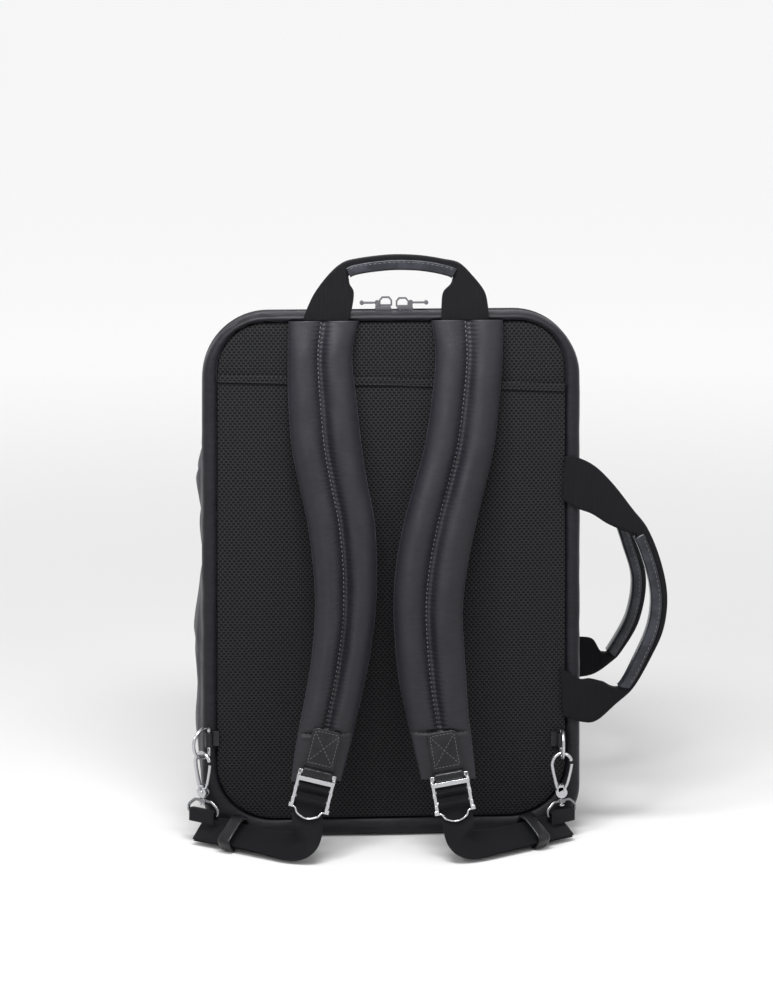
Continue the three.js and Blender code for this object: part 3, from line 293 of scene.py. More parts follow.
class Paint:
    """A node material, with short calls for the nodes it is made of."""

    def __init__(self, name, color, roughness, metallic=0.0):
        self.material = bpy.data.materials.new(name)
        self.material.use_nodes = True
        self.tree = self.material.node_tree
        self.surface = self.tree.nodes["Principled BSDF"]
        self.surface.inputs["Base Color"].default_value = (*color, 1)
        self.surface.inputs["Roughness"].default_value = roughness
        self.surface.inputs["Metallic"].default_value = metallic
        self.surface.inputs["Specular IOR Level"].default_value = 0.5 if metallic else cloth_shine
        place = self.tree.nodes.new("ShaderNodeTexCoord")
        grown = self.tree.nodes.new("ShaderNodeVectorMath")
        grown.operation = "SCALE"
        grown.inputs["Scale"].default_value = 1 / MM
        self.link(place.outputs["Object"], grown.inputs[0])
        self.place = grown.outputs[0]
        self.height = None

    def link(self, a, b):
        self.tree.links.new(a, b)

    def put(self, socket, value):
        if isinstance(value, bpy.types.NodeSocket):
            self.link(value, socket)
        else:
            socket.default_value = value

    def math(self, kind, a, b=0.0):
        node = self.tree.nodes.new("ShaderNodeMath")
        node.operation = kind
        self.put(node.inputs[0], a)
        self.put(node.inputs[1], b)
        return node.outputs[0]

    def axes(self):
        node = self.tree.nodes.new("ShaderNodeSeparateXYZ")
        self.link(self.place, node.inputs[0])
        return node.outputs

    def length(self, a, b):
        squares = [self.math("MULTIPLY", side, side) for side in (a, b)]
        return self.math("SQRT", self.math("ADD", *squares))

    def wave(self, value, pitch):
        return self.math("SINE", self.math("MULTIPLY", value, 2 * math.pi / pitch))

    def stretched(self, scale):
        """The place in millimetres, scaled by one number or by three."""
        node = self.tree.nodes.new("ShaderNodeVectorMath")
        node.operation = "MULTIPLY"
        self.link(self.place, node.inputs[0])
        node.inputs[1].default_value = scale if isinstance(scale, tuple) else (scale,) * 3
        return node.outputs[0]

    def noise(self, scale, detail):
        node = self.tree.nodes.new("ShaderNodeTexNoise")
        self.link(self.stretched(scale), node.inputs["Vector"])
        node.inputs["Scale"].default_value = 1
        node.inputs["Detail"].default_value = detail
        node.inputs["Roughness"].default_value = noise_roughness
        return node.outputs["Fac"]

    def cells(self, size):
        node = self.tree.nodes.new("ShaderNodeTexVoronoi")
        self.link(self.stretched(1 / size), node.inputs["Vector"])
        node.inputs["Scale"].default_value = 1
        return node.outputs["Distance"]

    def span(self, value, low, high, to_low, to_high):
        node = self.tree.nodes.new("ShaderNodeMapRange")
        node.interpolation_type = "SMOOTHSTEP"
        self.link(value, node.inputs["Value"])
        ends = {"From Min": low, "From Max": high, "To Min": to_low, "To Max": to_high}
        for name, number in ends.items():
            node.inputs[name].default_value = number
        return node.outputs["Result"]

    def blend(self, share, a, b):
        node = self.tree.nodes.new("ShaderNodeMix")
        node.data_type = "RGBA"
        self.link(share, node.inputs["Factor"])
        for socket, value in [(node.inputs[6], a), (node.inputs[7], b)]:
            if isinstance(value, tuple):
                socket.default_value = (*value, 1)
            else:
                self.link(value, socket)
        return node.outputs[2]

    def color(self, value):
        self.link(value, self.surface.inputs["Base Color"])

    def roughness(self, value):
        self.link(value, self.surface.inputs["Roughness"])

    def bump(self, height, depth, strength=1.0):
        node = self.tree.nodes.new("ShaderNodeBump")
        node.inputs["Strength"].default_value = strength
        node.inputs["Distance"].default_value = depth * MM
        self.link(height, node.inputs["Height"])
        if self.height:
            self.link(self.height, node.inputs["Normal"])
        self.height = node.outputs["Normal"]
        self.link(self.height, self.surface.inputs["Normal"])

    def sheen(self, weight, roughness, tint):
        self.surface.inputs["Sheen Weight"].default_value = weight
        self.surface.inputs["Sheen Roughness"].default_value = roughness
        self.surface.inputs["Sheen Tint"].default_value = (*tint, 1)


def satin_nylon(name, dark, light, streak, shine):
    """Close plain weave with a soft shine and faint slubs across it."""
    paint = Paint(name, dark, 0.5)
    paint.surface.inputs["Specular IOR Level"].default_value = shine
    slubs = paint.noise((0.12, 0.12, 0.7), 4)
    cloud = paint.noise(0.02, 3)
    paint.color(paint.blend(paint.span(slubs, 0.35, 0.7, 0, streak), dark, light))
    paint.roughness(paint.span(cloud, 0.3, 0.7, 0.4, 0.56))
    x, y, z = paint.axes()
    warp = paint.wave(paint.math("ADD", x, y), thread_pitch)
    weft = paint.wave(z, thread_pitch)
    paint.bump(paint.math("MULTIPLY", warp, weft), 0.05, 0.45)
    paint.bump(paint.noise((0.12, 0.12, 0.2), 3), 0.5, 0.4)
    paint.sheen(0.05, 0.35, (0.8, 0.76, 0.95))
    return paint.material


def air_mesh(name, dark, light, across=3.6, up=2.15):
    """Spacer mesh with oval holes in staggered rows, the holes painted near black as painted shade."""
    paint = Paint(name, dark, 0.8)
    x, _, z = paint.axes()
    row = paint.math("DIVIDE", z, up)
    odd = paint.math("MULTIPLY", paint.math("MODULO", paint.math("FLOOR", row), 2.0), 0.5)
    column = paint.math("ADD", paint.math("DIVIDE", x, across), odd)
    to_x = paint.math("SUBTRACT", paint.math("FRACT", column), 0.5)
    to_z = paint.math("SUBTRACT", paint.math("FRACT", row), 0.5)
    wide = paint.math("MULTIPLY", to_x, 2.0)
    tall = paint.math("MULTIPLY", to_z, 1.6)
    away = paint.length(wide, tall)
    knit = paint.span(away, 0.62, 0.86, 0, 1)
    fibre = paint.noise(2.2, 2)
    # Painted shade: the holes take the near-black first colour, and the knit takes the lighter second one,
    # varied by the fibre noise.
    hole_shade_tone = paint.math("MULTIPLY", knit, paint.span(fibre, 0.3, 0.7, 0.55, 1.0))
    paint.color(paint.blend(hole_shade_tone, dark, light))
    paint.bump(knit, 1.1, 0.9)
    paint.bump(fibre, 0.2, 0.4)
    paint.sheen(0.02, 0.5, (0.8, 0.8, 0.9))
    return paint.material


def ribbed_webbing(name, dark, light, rib=1.3, gloss=0.66, shine=0.2):
    """Heavy webbing: small ribs in a broken twill."""
    paint = Paint(name, dark, gloss)
    paint.surface.inputs["Specular IOR Level"].default_value = shine
    x, y, z = paint.axes()
    wide = paint.math("MULTIPLY", x, 0.8)
    tall = paint.math("ADD", z, y)
    slants = [paint.wave(paint.math(kind, wide, tall), rib) for kind in ("ADD", "SUBTRACT")]
    weave = paint.math("MULTIPLY", *slants)
    paint.color(paint.blend(paint.span(weave, -0.6, 0.9, 0, 1), dark, light))
    paint.bump(weave, 0.3, 0.8)
    paint.bump(paint.noise(1.2, 3), 0.3, 0.4)
    paint.sheen(0.02, 0.4, (0.8, 0.8, 0.95))
    return paint.material


def smooth_leather(name, dark, light, gloss):
    """Coated leather with fine pebbled grain and worn, lighter high spots."""
    paint = Paint(name, dark, gloss)
    pebbles = paint.cells(leather_grain)
    cloud = paint.noise(0.08, 4)
    paint.color(paint.blend(paint.span(cloud, 0.4, 0.75, 0, 1), dark, light))
    paint.roughness(paint.span(cloud, 0.3, 0.7, gloss - 0.06, gloss + 0.1))
    paint.bump(pebbles, 0.14, 0.5)
    paint.bump(paint.noise(0.35, 3), 0.5, 0.35)
    paint.surface.inputs["Coat Weight"].default_value = 0.25
    paint.surface.inputs["Coat Roughness"].default_value = 0.25
    return paint.material


def polished_metal(name, color, roughness):
    """Plated metal with faint wear and fine scratches."""
    paint = Paint(name, color, roughness, 1.0)
    wear = paint.noise(0.5, 4)
    scratch = paint.noise((4.0, 0.5, 0.5), 2)
    paint.roughness(paint.span(wear, 0.3, 0.75, roughness - 0.05, roughness + 0.12))
    paint.bump(scratch, 0.03, 0.35)
    return paint.material


def thread(name, color):
    paint = Paint(name, color, 0.6)
    twist = paint.noise(3.0, 2)
    paint.color(paint.blend(twist, tuple(c * 0.5 for c in color), color))
    paint.bump(twist, 0.15, 0.6)
    return paint.material


nylon = satin_nylon("bag_nylon", (0.006, 0.006, 0.008), (0.011, 0.0105, 0.014), 0.8, 0.18)
strap_nylon = satin_nylon("strap_nylon", (0.0075, 0.007, 0.0095), (0.012, 0.011, 0.0155), 0.6, 0.27)
# The air mesh's first colour is painted shade in its holes.
mesh_cloth = air_mesh("air_mesh_cloth", (0.0004, 0.0004, 0.0005), (0.018, 0.018, 0.0205))
webbing = ribbed_webbing("webbing_cloth", (0.0025, 0.0025, 0.0035), (0.006, 0.006, 0.008),
                         gloss=0.5, shine=0.14)
handle_webbing = ribbed_webbing("handle_webbing_cloth", (0.002, 0.002, 0.0027), (0.008, 0.008, 0.01),
                                rib=1.6, gloss=0.6, shine=0.1)
leather = smooth_leather("black_leather", (0.004, 0.004, 0.005), (0.010, 0.010, 0.0125), 0.32)
# Painted light: the grips use the same black leather painted about three times lighter, as if lit from
# above like the top handle.
painted_lit_grip_leather = smooth_leather("painted_lit_grip_leather", (0.012, 0.0125, 0.016), (0.026, 0.027, 0.035), 0.24)
zip_cloth = ribbed_webbing("zip_tape_cloth", (0.003, 0.003, 0.0035), (0.008, 0.008, 0.009), 0.9)
zip_teeth = thread("zip_coil", (0.012, 0.012, 0.014))
nickel = polished_metal("polished_gunmetal", (0.46, 0.46, 0.48), 0.16)
dark_nickel = polished_metal("dark_gunmetal", (0.2, 0.2, 0.215), 0.24)
pale_thread = thread("pale_stitches", (0.11, 0.11, 0.12))
dark_thread = thread("dark_stitches", (0.03, 0.03, 0.034))


# Bag

# Points of half a rim: along the bottom, round its corner, up the side, round the top corner, along the top
rim_steps = (14, 14, 74, 18, 26)


def half_rim(outline):
    """Points of one half of the rim, from the middle of the bottom to the middle of the top."""
    half, bottom, top = outline["half"], outline["bottom"], outline["top"]
    low, high = outline["bottom_radius"], outline["top_radius"]
    foot, corner, side, crown, head = rim_steps

    def share(count):
        return (np.arange(count) + 0.5) / count

    turn_low = np.linspace(0, math.pi / 2, corner)
    turn_high = np.linspace(0, math.pi / 2, crown)
    rise = np.linspace(bottom + low, top - high, side + 1)[1:-1]
    x = np.concatenate([(half - low) * share(foot), half - low + low * np.sin(turn_low),
                        np.full(side - 1, half), half - high + high * np.cos(turn_high),
                        (half - high) * share(head)[::-1]])
    z = np.concatenate([np.full(foot, bottom), bottom + low * (1 - np.cos(turn_low)), rise,
                        top - high + high * np.sin(turn_high), np.full(head, top)])
    return np.stack([x, z], 1)


def taper(z):
    """How much wider than its middle the bag is at a height."""
    return 1 + side_taper * (1 - 2 * z / bag_height)


def rim(outline):
    right = half_rim(outline)
    left = (right * [-1, 1])[::-1]
    both = np.vstack([right, left])
    both[:, 0] *= taper(both[:, 1])
    return both


def outward(flat):
    """The way out of a closed outline at each of its points."""
    ahead = np.roll(flat, -1, 0) - np.roll(flat, 1, 0)
    return unit(np.stack([ahead[:, 1], -ahead[:, 0]], 1))


def between(a, b, share):
    return {key: a[key] + (b[key] - a[key]) * share for key in a}


def inset(outline, by):
    signs = {"half": -1, "bottom": 1, "top": -1, "top_radius": -1, "bottom_radius": -1}
    return {key: outline[key] + signs[key] * by for key in outline}


# Folds in the sides: side, height and spread as shares of the bag's height, and push outwards
gusset_folds = [
    (-1, 0.19, 0.08, 5.2), (-1, 0.37, 0.09, 7.4), (-1, 0.51, 0.022, -2.2), (-1, 0.58, 0.04, 1.6),
    (-1, 0.68, 0.05, 5.2), (1, 0.26, 0.06, 1.8), (1, 0.5, 0.07, -2.4), (1, 0.72, 0.07, 2.2),
]
# Sharp creases in the side: side, height, slant, width and depth
gusset_creases = [
    (-1, 314, 0.25, 5, 1.6), (-1, 296, -0.3, 4, 1.4), (-1, 262, 0.35, 5, 1.8), (-1, 226, -0.15, 4, 1.2),
    (-1, 150, 0.2, 6, 1.2), (1, 330, 0.2, 5, 1.2), (1, 205, -0.3, 6, 1.4), (1, 160, 0.25, 5, 1.2),
]


def gusset_push(x, y, z, sag):
    push = np.zeros_like(z)
    for side, height, spread, out in gusset_folds:
        push += np.where(np.sign(x) == side, out * np.exp(-((z / bag_height - height) / spread) ** 2), 0)
    for side, height, slant, width, depth in gusset_creases:
        line = z - height - slant * y
        push -= np.where(np.sign(x) == side, depth * np.exp(-(line / width) ** 2), 0)
    on_side = smoothstep(0.9, 0.97, np.abs(x) / (bag_width / 2))
    return push * sag * on_side


def ring_at(outline, y, sag=0.0, drop=0.0):
    """A ring of the bag at one depth. Drop draws it in where the zip's slot runs."""
    flat = rim(outline)
    out = outward(flat)
    x, z = flat[:, 0], flat[:, 1]
    away = gusset_push(x, y, z, sag) - drop * smoothstep(zip_end - 2, zip_end + 3, z)
    return upright(x + out[:, 0] * away, y, z + out[:, 1] * away)


def bag_rings():
    border = through([
        (panel_recess + 1.2, 1.02), (4.6, 0.97), (1.6, 0.86), (0, 0.6), (0.7, 0.36), (2.6, 0.16),
        (6.5, 0.03), (zip_setback - 2.4, 0), (zip_setback - 0.5, 0)], 30)
    rings = []
    for behind, share in border:
        rings.append(ring_at(between(body_outline, panel_outline, share), back_y + behind))
    for y, drop in [(0, 0.9), (0.25, slot_depth * 0.6), (0.5, slot_depth), (5, slot_depth + 0.2),
                    (9.5, slot_depth), (9.75, slot_depth * 0.6), (10, 0.9), (10.5, 0)]:
        rings.append(ring_at(body_outline, back_y + zip_setback + y, 0, drop))
    sags = [(0.24, 0), (0.3, 0.3), (0.38, 0.75), (0.55, 1), (0.72, 0.85), (0.85, 0.35), (0.9, 0.1)]
    sides = through(sags, 34)
    for depth, sag in sides:
        rings.append(ring_at(body_outline, back_y + bag_depth * depth, max(0.0, sag)))
    edge = through([(0.915, 0.6), (0.925, 0.2), (0.935, 1.4), (0.96, 4.4), (0.982, 8.5), (1, 15)], 14)
    for depth, by in edge:
        rings.append(ring_at(inset(body_outline, by), back_y + bag_depth * depth))
    last = rings[-1]
    middle = np.array([0, 0, bag_height / 2])
    for keep in np.linspace(0.96, 0.06, 22):
        rise = front_dome * (1 - keep ** 2.2)
        ring = middle + (last - middle) * [keep, 0, keep]
        ring[:, 1] = front_y + rise
        rings.append(ring)
    return np.array(rings)


def soften_bag(rings):
    """Dents of cloth with nothing behind it, wrinkles in the top left corner, and the fall of the top."""
    flat = rings.reshape(-1, 3)
    big = roughs(flat, 46, 3.1)
    small = roughs(flat, 15, 8.7)
    middle = np.array([0, 0, bag_height / 2])
    out = unit((flat - middle) * [1, 0, 1])
    depth = (flat[:, 1] - back_y) / bag_depth
    loose = smoothstep(0.26, 0.42, depth) * (1 - smoothstep(0.88, 0.95, depth))
    border = (1 - smoothstep(0.08, 0.13, depth)) * smoothstep(0.0, 0.02, depth)
    front = smoothstep(0.985, 1.02, depth)
    corner = np.exp(-((flat[:, 0] + 108) / 34) ** 2 - ((flat[:, 2] - 414) / 20) ** 2)
    wrinkles = roughs(flat * [1, 1.6, 1], 7, 2.4)
    flat = flat + out * (loose * (0.9 * big + 0.45 * small))[:, None]
    flat = flat + out * (border * (0.35 * small + corner * 1.7 * wrinkles))[:, None]
    flat[:, 1] += front * (1.1 * big + 0.3 * small)
    behind = smoothstep(zip_setback + zip_slot, bag_depth, flat[:, 1] - back_y)
    high = smoothstep(bag_height * 0.55, bag_height, flat[:, 2])
    flat[:, 2] -= top_fall * (0.35 * behind + 0.65 * np.sqrt(behind)) * high
    flat[:, 2] = np.maximum(flat[:, 2], 0)
    return flat.reshape(rings.shape)


def bag_body():
    rings = soften_bag(bag_rings())
    add_piece("bag_body", skin(rings), nylon, ["bag_shell"])


def rim_line(y, out, low):
    """Points and outward directions of the bag's rim at one depth, above a height."""
    flat = rim(body_outline)
    away = outward(flat)
    keep = flat[:, 1] > low
    flat, away = flat[keep], away[keep]
    line = flat + away * out
    return upright(line[:, 0], y, line[:, 1]), upright(away[:, 0], 0, away[:, 1])


def evenly(points, normals, pitch):
    run = run_along(points)
    at = np.linspace(0, run[-1], max(2, int(run[-1] / pitch)))
    return sampled(run, points, at), unit(sampled(run, normals, at))


def main_zip():
    y = back_y + zip_setback + zip_slot / 2
    points, _ = evenly(*rim_line(y, -2.5, zip_end + 1), 5)
    across = np.tile([0, 1, 0], (len(points), 1))
    tape = skin(sweep(points, across, rounded_strip(zip_slot - 0.8, 1.4, 16)))
    base, out = evenly(*rim_line(y, -1.3, zip_end + 2), coil_pitch)
    along = unit(np.gradient(base, axis=0))
    teeth = []
    corners = [(1, 0), (0, 1), (-1, 0), (0, -1)]
    for i, (p, n, a) in enumerate(zip(base, out, along)):
        side = np.array([0, 1, 0]) * (1 if i % 2 else -1)
        arc = [p + side * 2.5 - n * 0.4, p + side * 2.6 + n * 0.35, p + side * 0.9 + n * 0.75 + a * 0.2,
               p - side * 0.9 + n * 0.6 + a * 0.45]
        rings = [q + coil_radius * (a * c + n * s) for q in arc for c, s in corners]
        teeth.append(skin(np.array(rings).reshape(4, 4, 3)))
    add_piece("zip_coil_teeth", merged(*teeth), zip_teeth)
    add_piece("zip_tape", tape, zip_cloth, ["main_zip"])


def panel_skin(outline, back, front, cut, crown, seed):
    """A cloth panel with its rim turned under. Cut gives its top edge's height at each X."""
    rings = []

    def ring(by, y):
        flat = rim(inset(outline, by))
        z = np.minimum(flat[:, 1], cut(flat[:, 0]) - by / 3)
        return upright(flat[:, 0], y, z)

    for by, share in [(0.6, 0), (0.4, 0.4), (0.7, 0.75), (1.6, 0.93), (3, 1)]:
        rings.append(ring(by, back + (front - back) * share))
    last = rings[-1]
    middle = np.array([0, 0, (last[:, 2].max() + last[:, 2].min()) / 2])
    for keep in np.linspace(0.97, 0.02, 42):
        r = middle + (last - middle) * [keep, 0, keep]
        r[:, 1] = front - crown * (1 - keep ** 8)
        rings.append(r)
    rings = np.array(rings)
    flat = rings.reshape(-1, 3)
    face = smoothstep(0.5, 1, (flat[:, 1] - back) / (front - back))
    seen = flat * [1, 0, 1]
    flat[:, 1] -= face * (0.3 * roughs(seen, 60, seed) + 0.12 * roughs(seen, 22, seed))
    return skin(flat.reshape(rings.shape))


hem_line = [(-150, 377.8), (-136, 377.4), (-60, 374.6), (0, 373.6), (60, 371), (138, 367.6), (150, 367)]


def hem_height(x):
    xs, zs = zip(*hem_line)
    return np.interp(x, xs, zs)


def no_cut(x):
    return np.full(np.shape(x), 1e3)


def back_panels():
    panel = panel_skin(panel_outline, bed_y - 0.3, panel_front, no_cut, 1.2, 5.5)
    add_piece("mesh_panel", panel, mesh_cloth, ["back_panel"])
    sleeve = panel_skin(panel_outline, panel_front - 0.3, sleeve_front, hem_height, 1.0, 7.2)
    add_piece("sleeve_cloth", sleeve, mesh_cloth, ["luggage_sleeve"])
    half = (panel_outline["half"] - 1) * taper(sleeve_top)
    x = np.linspace(-half, half, 120)
    z = hem_height(x) - hem_width / 2 + 0.5
    path = upright(x, sleeve_front - 0.9, z)
    section = rounded_strip(hem_width, 2.0)
    hem = skin(sweep(path, np.tile([0, 0, 1], (len(x), 1)), section))
    add_piece("sleeve_hem", hem, mesh_cloth)
    below = path + [0, -0.95, -2.0]
    out = np.tile([0, -1, 0], (len(x), 1))
    add_piece("sleeve_hem_stitches", stitch_row(below, out, 2.2, 1.2, 0.22), dark_thread)


# Shoulder straps

strap_lean = [
    (419.2, 1.0), (392, 5.4), (359.6, 9.8), (323, 14.6), (294.5, 18.2), (265, 22.1), (230, 26.7),
    (197, 31.1), (164, 35.8), (137, 40), (113, 44.1), (90, 47.7), (64, 51.9),
]
strap_shapes = {
    "left": [(-55.5, 54.4), (-58.5, 50), (-57, 53), (-54, 54.5), (-49.2, 53.5), (-43.4, 52.5), (-40.4, 50),
             (-40.3, 47.5), (-43.8, 45.8), (-48.6, 44.8), (-54, 44), (-59.2, 42.6), (-64.6, 39)],
    "right": [(56, 55.5), (57.3, 52.6), (54.6, 53), (49.6, 54.5), (42.6, 56), (34.6, 57), (27.6, 56.5),
              (24.4, 54.5), (25.6, 54), (27.9, 52.5), (31.2, 49), (35, 46.5), (39.2, 43)],
}
strap_fullness = [0.42, 0.72, 0.9, 1, 1, 1, 1, 1, 0.96, 0.9, 0.8, 0.62, 0.4]
strap_thickness = 13
strap_edge = 3.2
pad_back = 0.16
pad_middle = (1 - pad_back * 2) / 2
channel_end = 101  # height at which the channel stops at a cross seam
channel_half = 0.035  # half of the channel's width, as a share of half the strap's
stitch_pitch = 3.5
strap_rings = 330
strap_across = 46


def strap_rows(side):
    rows = [(strap_middle + shape[0], back_y - lean[1], lean[0], shape[1], full)
            for lean, shape, full in zip(strap_lean, strap_shapes[side], strap_fullness)]
    return through(rows, strap_rings)


def lobe(share):
    """Height of the quilted face at a share of the way from the channel to the rim."""
    s = np.clip(share, 0, 1)
    return 0.1 + 0.9 * np.sin(math.pi * s ** 0.9) ** 0.62


def pad_height(t, z):
    """Height of the pad's face, from -1 to 1 across it."""
    away = np.abs(t)
    lobes = lobe((away - channel_half) / (1 - channel_half))
    floor = 0.34
    face = np.where(away < channel_half, floor, np.maximum(lobes, floor * (1 - smoothstep(0, 0.25, away))))
    plain = 0.2 + 0.62 * np.sqrt(np.clip(1 - away**2.6, 0, 1))
    open_channel = smoothstep(channel_end - 6, channel_end + 5, z)
    seam = np.exp(-((z - channel_end) / 1.6) ** 2)
    return (face * open_channel + plain * (1 - open_channel)) * (1 - 0.22 * seam)


def shoulder_strap(side):
    rows = strap_rows(side)
    points, width, full = rows[:, :3], rows[:, 3], rows[:, 4]
    across = np.tile([1.0, 0, 0], (len(points), 1))
    _, normal, _ = framed(points, across)
    thick = strap_edge + (strap_thickness - strap_edge) * full
    seed = 4 if side == "left" else 9
    swing = np.linspace(-math.pi / 2, math.pi / 2, strap_across)
    spread = np.sin(swing) * 0.5 + np.linspace(-1, 1, strap_across) * 0.5
    run = run_along(points)
    rings = []
    for i in range(len(points)):
        rise = pad_height(spread, points[i, 2])
        near_seam = np.exp(-(((np.abs(spread) - channel_half - 0.07) * width[i] / 2) / 3.2) ** 2)
        pucker = 0.42 * near_seam * math.cos(2 * math.pi * run[i] / stitch_pitch)
        slow = np.array([rough((t * 2.2, run[i] / 26, 0), 1, seed) for t in spread])
        crumple = 0.75 * slow * (1 - np.abs(spread) ** 4)
        top = (rise - pad_middle) * thick[i] + pucker + crumple
        under = -(pad_back + pad_middle) * thick[i] * np.ones(strap_across)
        under += 1.2 * (np.abs(spread) ** 6)
        half = spread * width[i] / 2
        front = points[i] + np.outer(half, across[i]) + np.outer(top, normal[i])
        back = points[i] + np.outer(half * 0.97, across[i]) + np.outer(under, normal[i])
        rings.append(np.vstack([front, back[::-1]]))
    part = skin(np.array(rings))
    pad = add_piece(f"strap_pad_{side}", part, strap_nylon, [f"shoulder_pad_{side}"])
    t = -channel_half - 0.035
    keep = points[:, 2] > channel_end + 2
    rise = np.array([pad_height(np.array([t]), z)[0] for z in points[:, 2]])
    top = (rise - pad_middle) * thick
    line = points + across * (t * width / 2)[:, None] + normal * (top + 0.3)[:, None]
    stitches = [stitch_row(line[keep], normal[keep], 2.1, stitch_pitch - 2.1, 0.4)]
    k = int(np.argmin(np.abs(points[:, 2] - channel_end)))
    ts = np.linspace(-0.86, 0.86, 30)
    rise = pad_height(ts, channel_end)
    top = (rise - pad_middle) * thick[k] + 0.2
    line = points[k] + np.outer(ts * width[k] / 2, across[k]) + np.outer(top, normal[k])
    stitches.append(stitch_row(line, np.tile(normal[k], (30, 1)), 2.2, 1.2, 0.24))
    add_piece(f"strap_stitches_{side}", merged(*stitches), pale_thread)


# Patch, buckle and webbing share one frame for each strap

buckle_frames = {"left": (-64.8, 61.4, 59, 14.5), "right": (43.7, 61.4, 55.5, -9.5)}
buckle_tilt = 6
buckle_width = 30
buckle_height = 31
buckle_thickness = 3
buckle_rail = 2.5
upper_bar = 2.6
lower_bar = -6.6
top_bar_height = 3.2
lip_drop = 6.5
lip_radius = 0.75
bar_radius = 1.3
patch_width = 23.5
patch_length = 35
hide = 1.8
fit = 0.3
bar_middle = buckle_height / 2 - top_bar_height / 2


def buckle_matrix(side):
    x, out, z, lean = buckle_frames[side]
    place = Matrix.Translation((x, back_y - out, z))
    tilt = Matrix.Rotation(-math.radians(buckle_tilt), 4, "X")
    return place @ tilt @ Matrix.Rotation(math.radians(lean), 4, "Y")


def stood(x, out, z, angle):
    """Place of what stands off the bag's back, turned about a vertical line."""
    place = Matrix.Translation((x, back_y - out, z))
    return place @ Matrix.Rotation(math.radians(angle), 4, "Z")


def block(width, depth, height, x, y, z):
    w, d, h = width / 2, depth / 2, height / 2
    corners = [(-w, -d), (w, -d), (w, d), (-w, d)]
    rings = [[(x + a, y + b, z + c) for a, b in corners] for c in (-h, h)]
    return skin(rings)


def rod(radius, a, b, around=20):
    a, b = np.array(a, float), np.array(b, float)
    along = unit(b - a)
    other = np.array([0, 0, 1.0]) if abs(along[2]) < 0.9 else np.array([1.0, 0, 0])
    side = unit(np.cross(along, other))
    up = np.cross(side, along)
    section = ellipse(radius, radius, around)
    rings = [[p + side * u + up * v for u, v in section] for p in (a, b)]
    return skin(rings)


def patch_outline(width, length, radius, steps=8):
    """Half-open outline of the patch, from its foot up and round both top corners."""
    half = width / 2
    turn = np.linspace(0, math.pi / 2, steps)
    right = np.stack([half - radius + radius * np.cos(turn), length - radius + radius * np.sin(turn)], 1)
    left = (right * [-1, 1])[::-1]
    return np.vstack([[[half, 0]], right, left, [[-half, 0]]])


def leather_patch(side):
    face = fit + buckle_thickness / 2
    outline = patch_outline(patch_width, patch_length, 4)
    centre = np.array([0, patch_length / 2])
    rings = []
    for shrink, y in [(0.3, face + hide), (0, face + hide - 0.4), (0, face + 0.5), (0.25, face + 0.12),
                      (0.9, face), (1.8, face + 0.02)]:
        flat = centre + (outline - centre) * (1 - 2 * shrink / np.array([patch_width, patch_length]))
        rings.append([(x, y, bar_middle + z) for x, z in flat])
    flap = skin(rings)
    reach = face + hide
    turn = full_turn(40)
    outer = np.stack([squash(np.cos(turn), 0.6) * reach, squash(np.sin(turn), 0.7) * (reach + 0.05)], 1)
    inner = outer * (1 - hide / reach)
    xs = np.linspace(-patch_width / 2, patch_width / 2, 12)
    swell = 1 + 0.03 * np.sin(xs * 0.9)

    def round_bar(section):
        return np.array([[(x, y * s, bar_middle + z * s) for y, z in section] for x, s in zip(xs, swell)])

    fold = skin(np.concatenate([round_bar(outer), round_bar(inner)[::-1]]), caps=False, loop=True)
    made = moved(merged(flap, fold), buckle_matrix(side))
    add_piece(f"patch_{side}", made, leather, [f"leather_patch_{side}"])
    z0, z1 = bar_middle + 7.2, bar_middle + patch_length - 2.2
    half = patch_width / 2 - 2.2
    edge = patch_outline(2 * half, z1 - z0, 2.6, 6) + [0, z0]
    loops = [
        np.vstack([edge, edge[:1]]),
        np.array([[-half + 1, z0 + 2], [half - 1, z1 - 2]]),
        np.array([[half - 1, z0 + 2], [-half + 1, z1 - 2]]),
    ]
    rows = []
    for line in loops:
        path = upright(line[:, 0], face - 0.1, line[:, 1])
        path, out = evenly(path, np.tile([0, -1.0, 0], (len(path), 1)), 0.6)
        rows.append(stitch_row(path, out, 1.9, 0.9, 0.24))
    stitches = moved(merged(*rows), buckle_matrix(side))
    add_piece(f"patch_stitches_{side}", stitches, pale_thread)


def ladder_buckle(side):
    half = buckle_width / 2
    top = buckle_height / 2
    parts = []
    for s in (-1, 1):
        rail_x = s * (half - buckle_rail / 2)
        parts.append(block(buckle_rail, buckle_thickness, buckle_height, rail_x, 0, 0))
        for share in (0.3, 0, -0.3):
            step_z = share * buckle_height
            parts.append(block(1.5, buckle_thickness + 0.7, 3.6, s * (half - 0.5), 0, step_z))
        parts.append(block(3.4, buckle_thickness + 0.6, 3.6, s * (half - 0.6), 0, -top + 1.9))
    parts.append(block(buckle_width, buckle_thickness, top_bar_height, 0, 0, top - top_bar_height / 2))
    # The lower edge of the top bar shows as a bright strip under the leather
    parts.append(block(buckle_width - 0.6, 1.6, 3.6, 0, -3.6, bar_middle - 5.1))
    for s in (-1, 1):
        parts.append(block(2.2, 4.2, 2.6, s * (half - 1.4), -2.0, bar_middle - 4.9))
    for z in (upper_bar, lower_bar):
        parts.append(rod(bar_radius, (-half + 0.5, 0, z), (half - 0.5, 0, z)))
    made = moved(merged(*parts), buckle_matrix(side))
    add_piece(f"buckle_{side}", made, nickel, [f"ladder_buckle_{side}"], bevel=0.35)
    reach = half - 2.6
    curve = through([(-reach - 1.4, -0.4, -top + 0.6), (-reach + 1.8, -0.9, -top + 0.2),
                     (-reach * 0.62, -1.6, -top - lip_drop * 0.6), (0, -1.8, -top - lip_drop),
                     (reach * 0.62, -1.6, -top - lip_drop * 0.6), (reach - 1.8, -0.9, -top + 0.2),
                     (reach + 1.4, -0.4, -top + 0.6)], 48)
    lip = moved(wire(curve, lip_radius), buckle_matrix(side))
    add_piece(f"buckle_lip_{side}", lip, nickel)


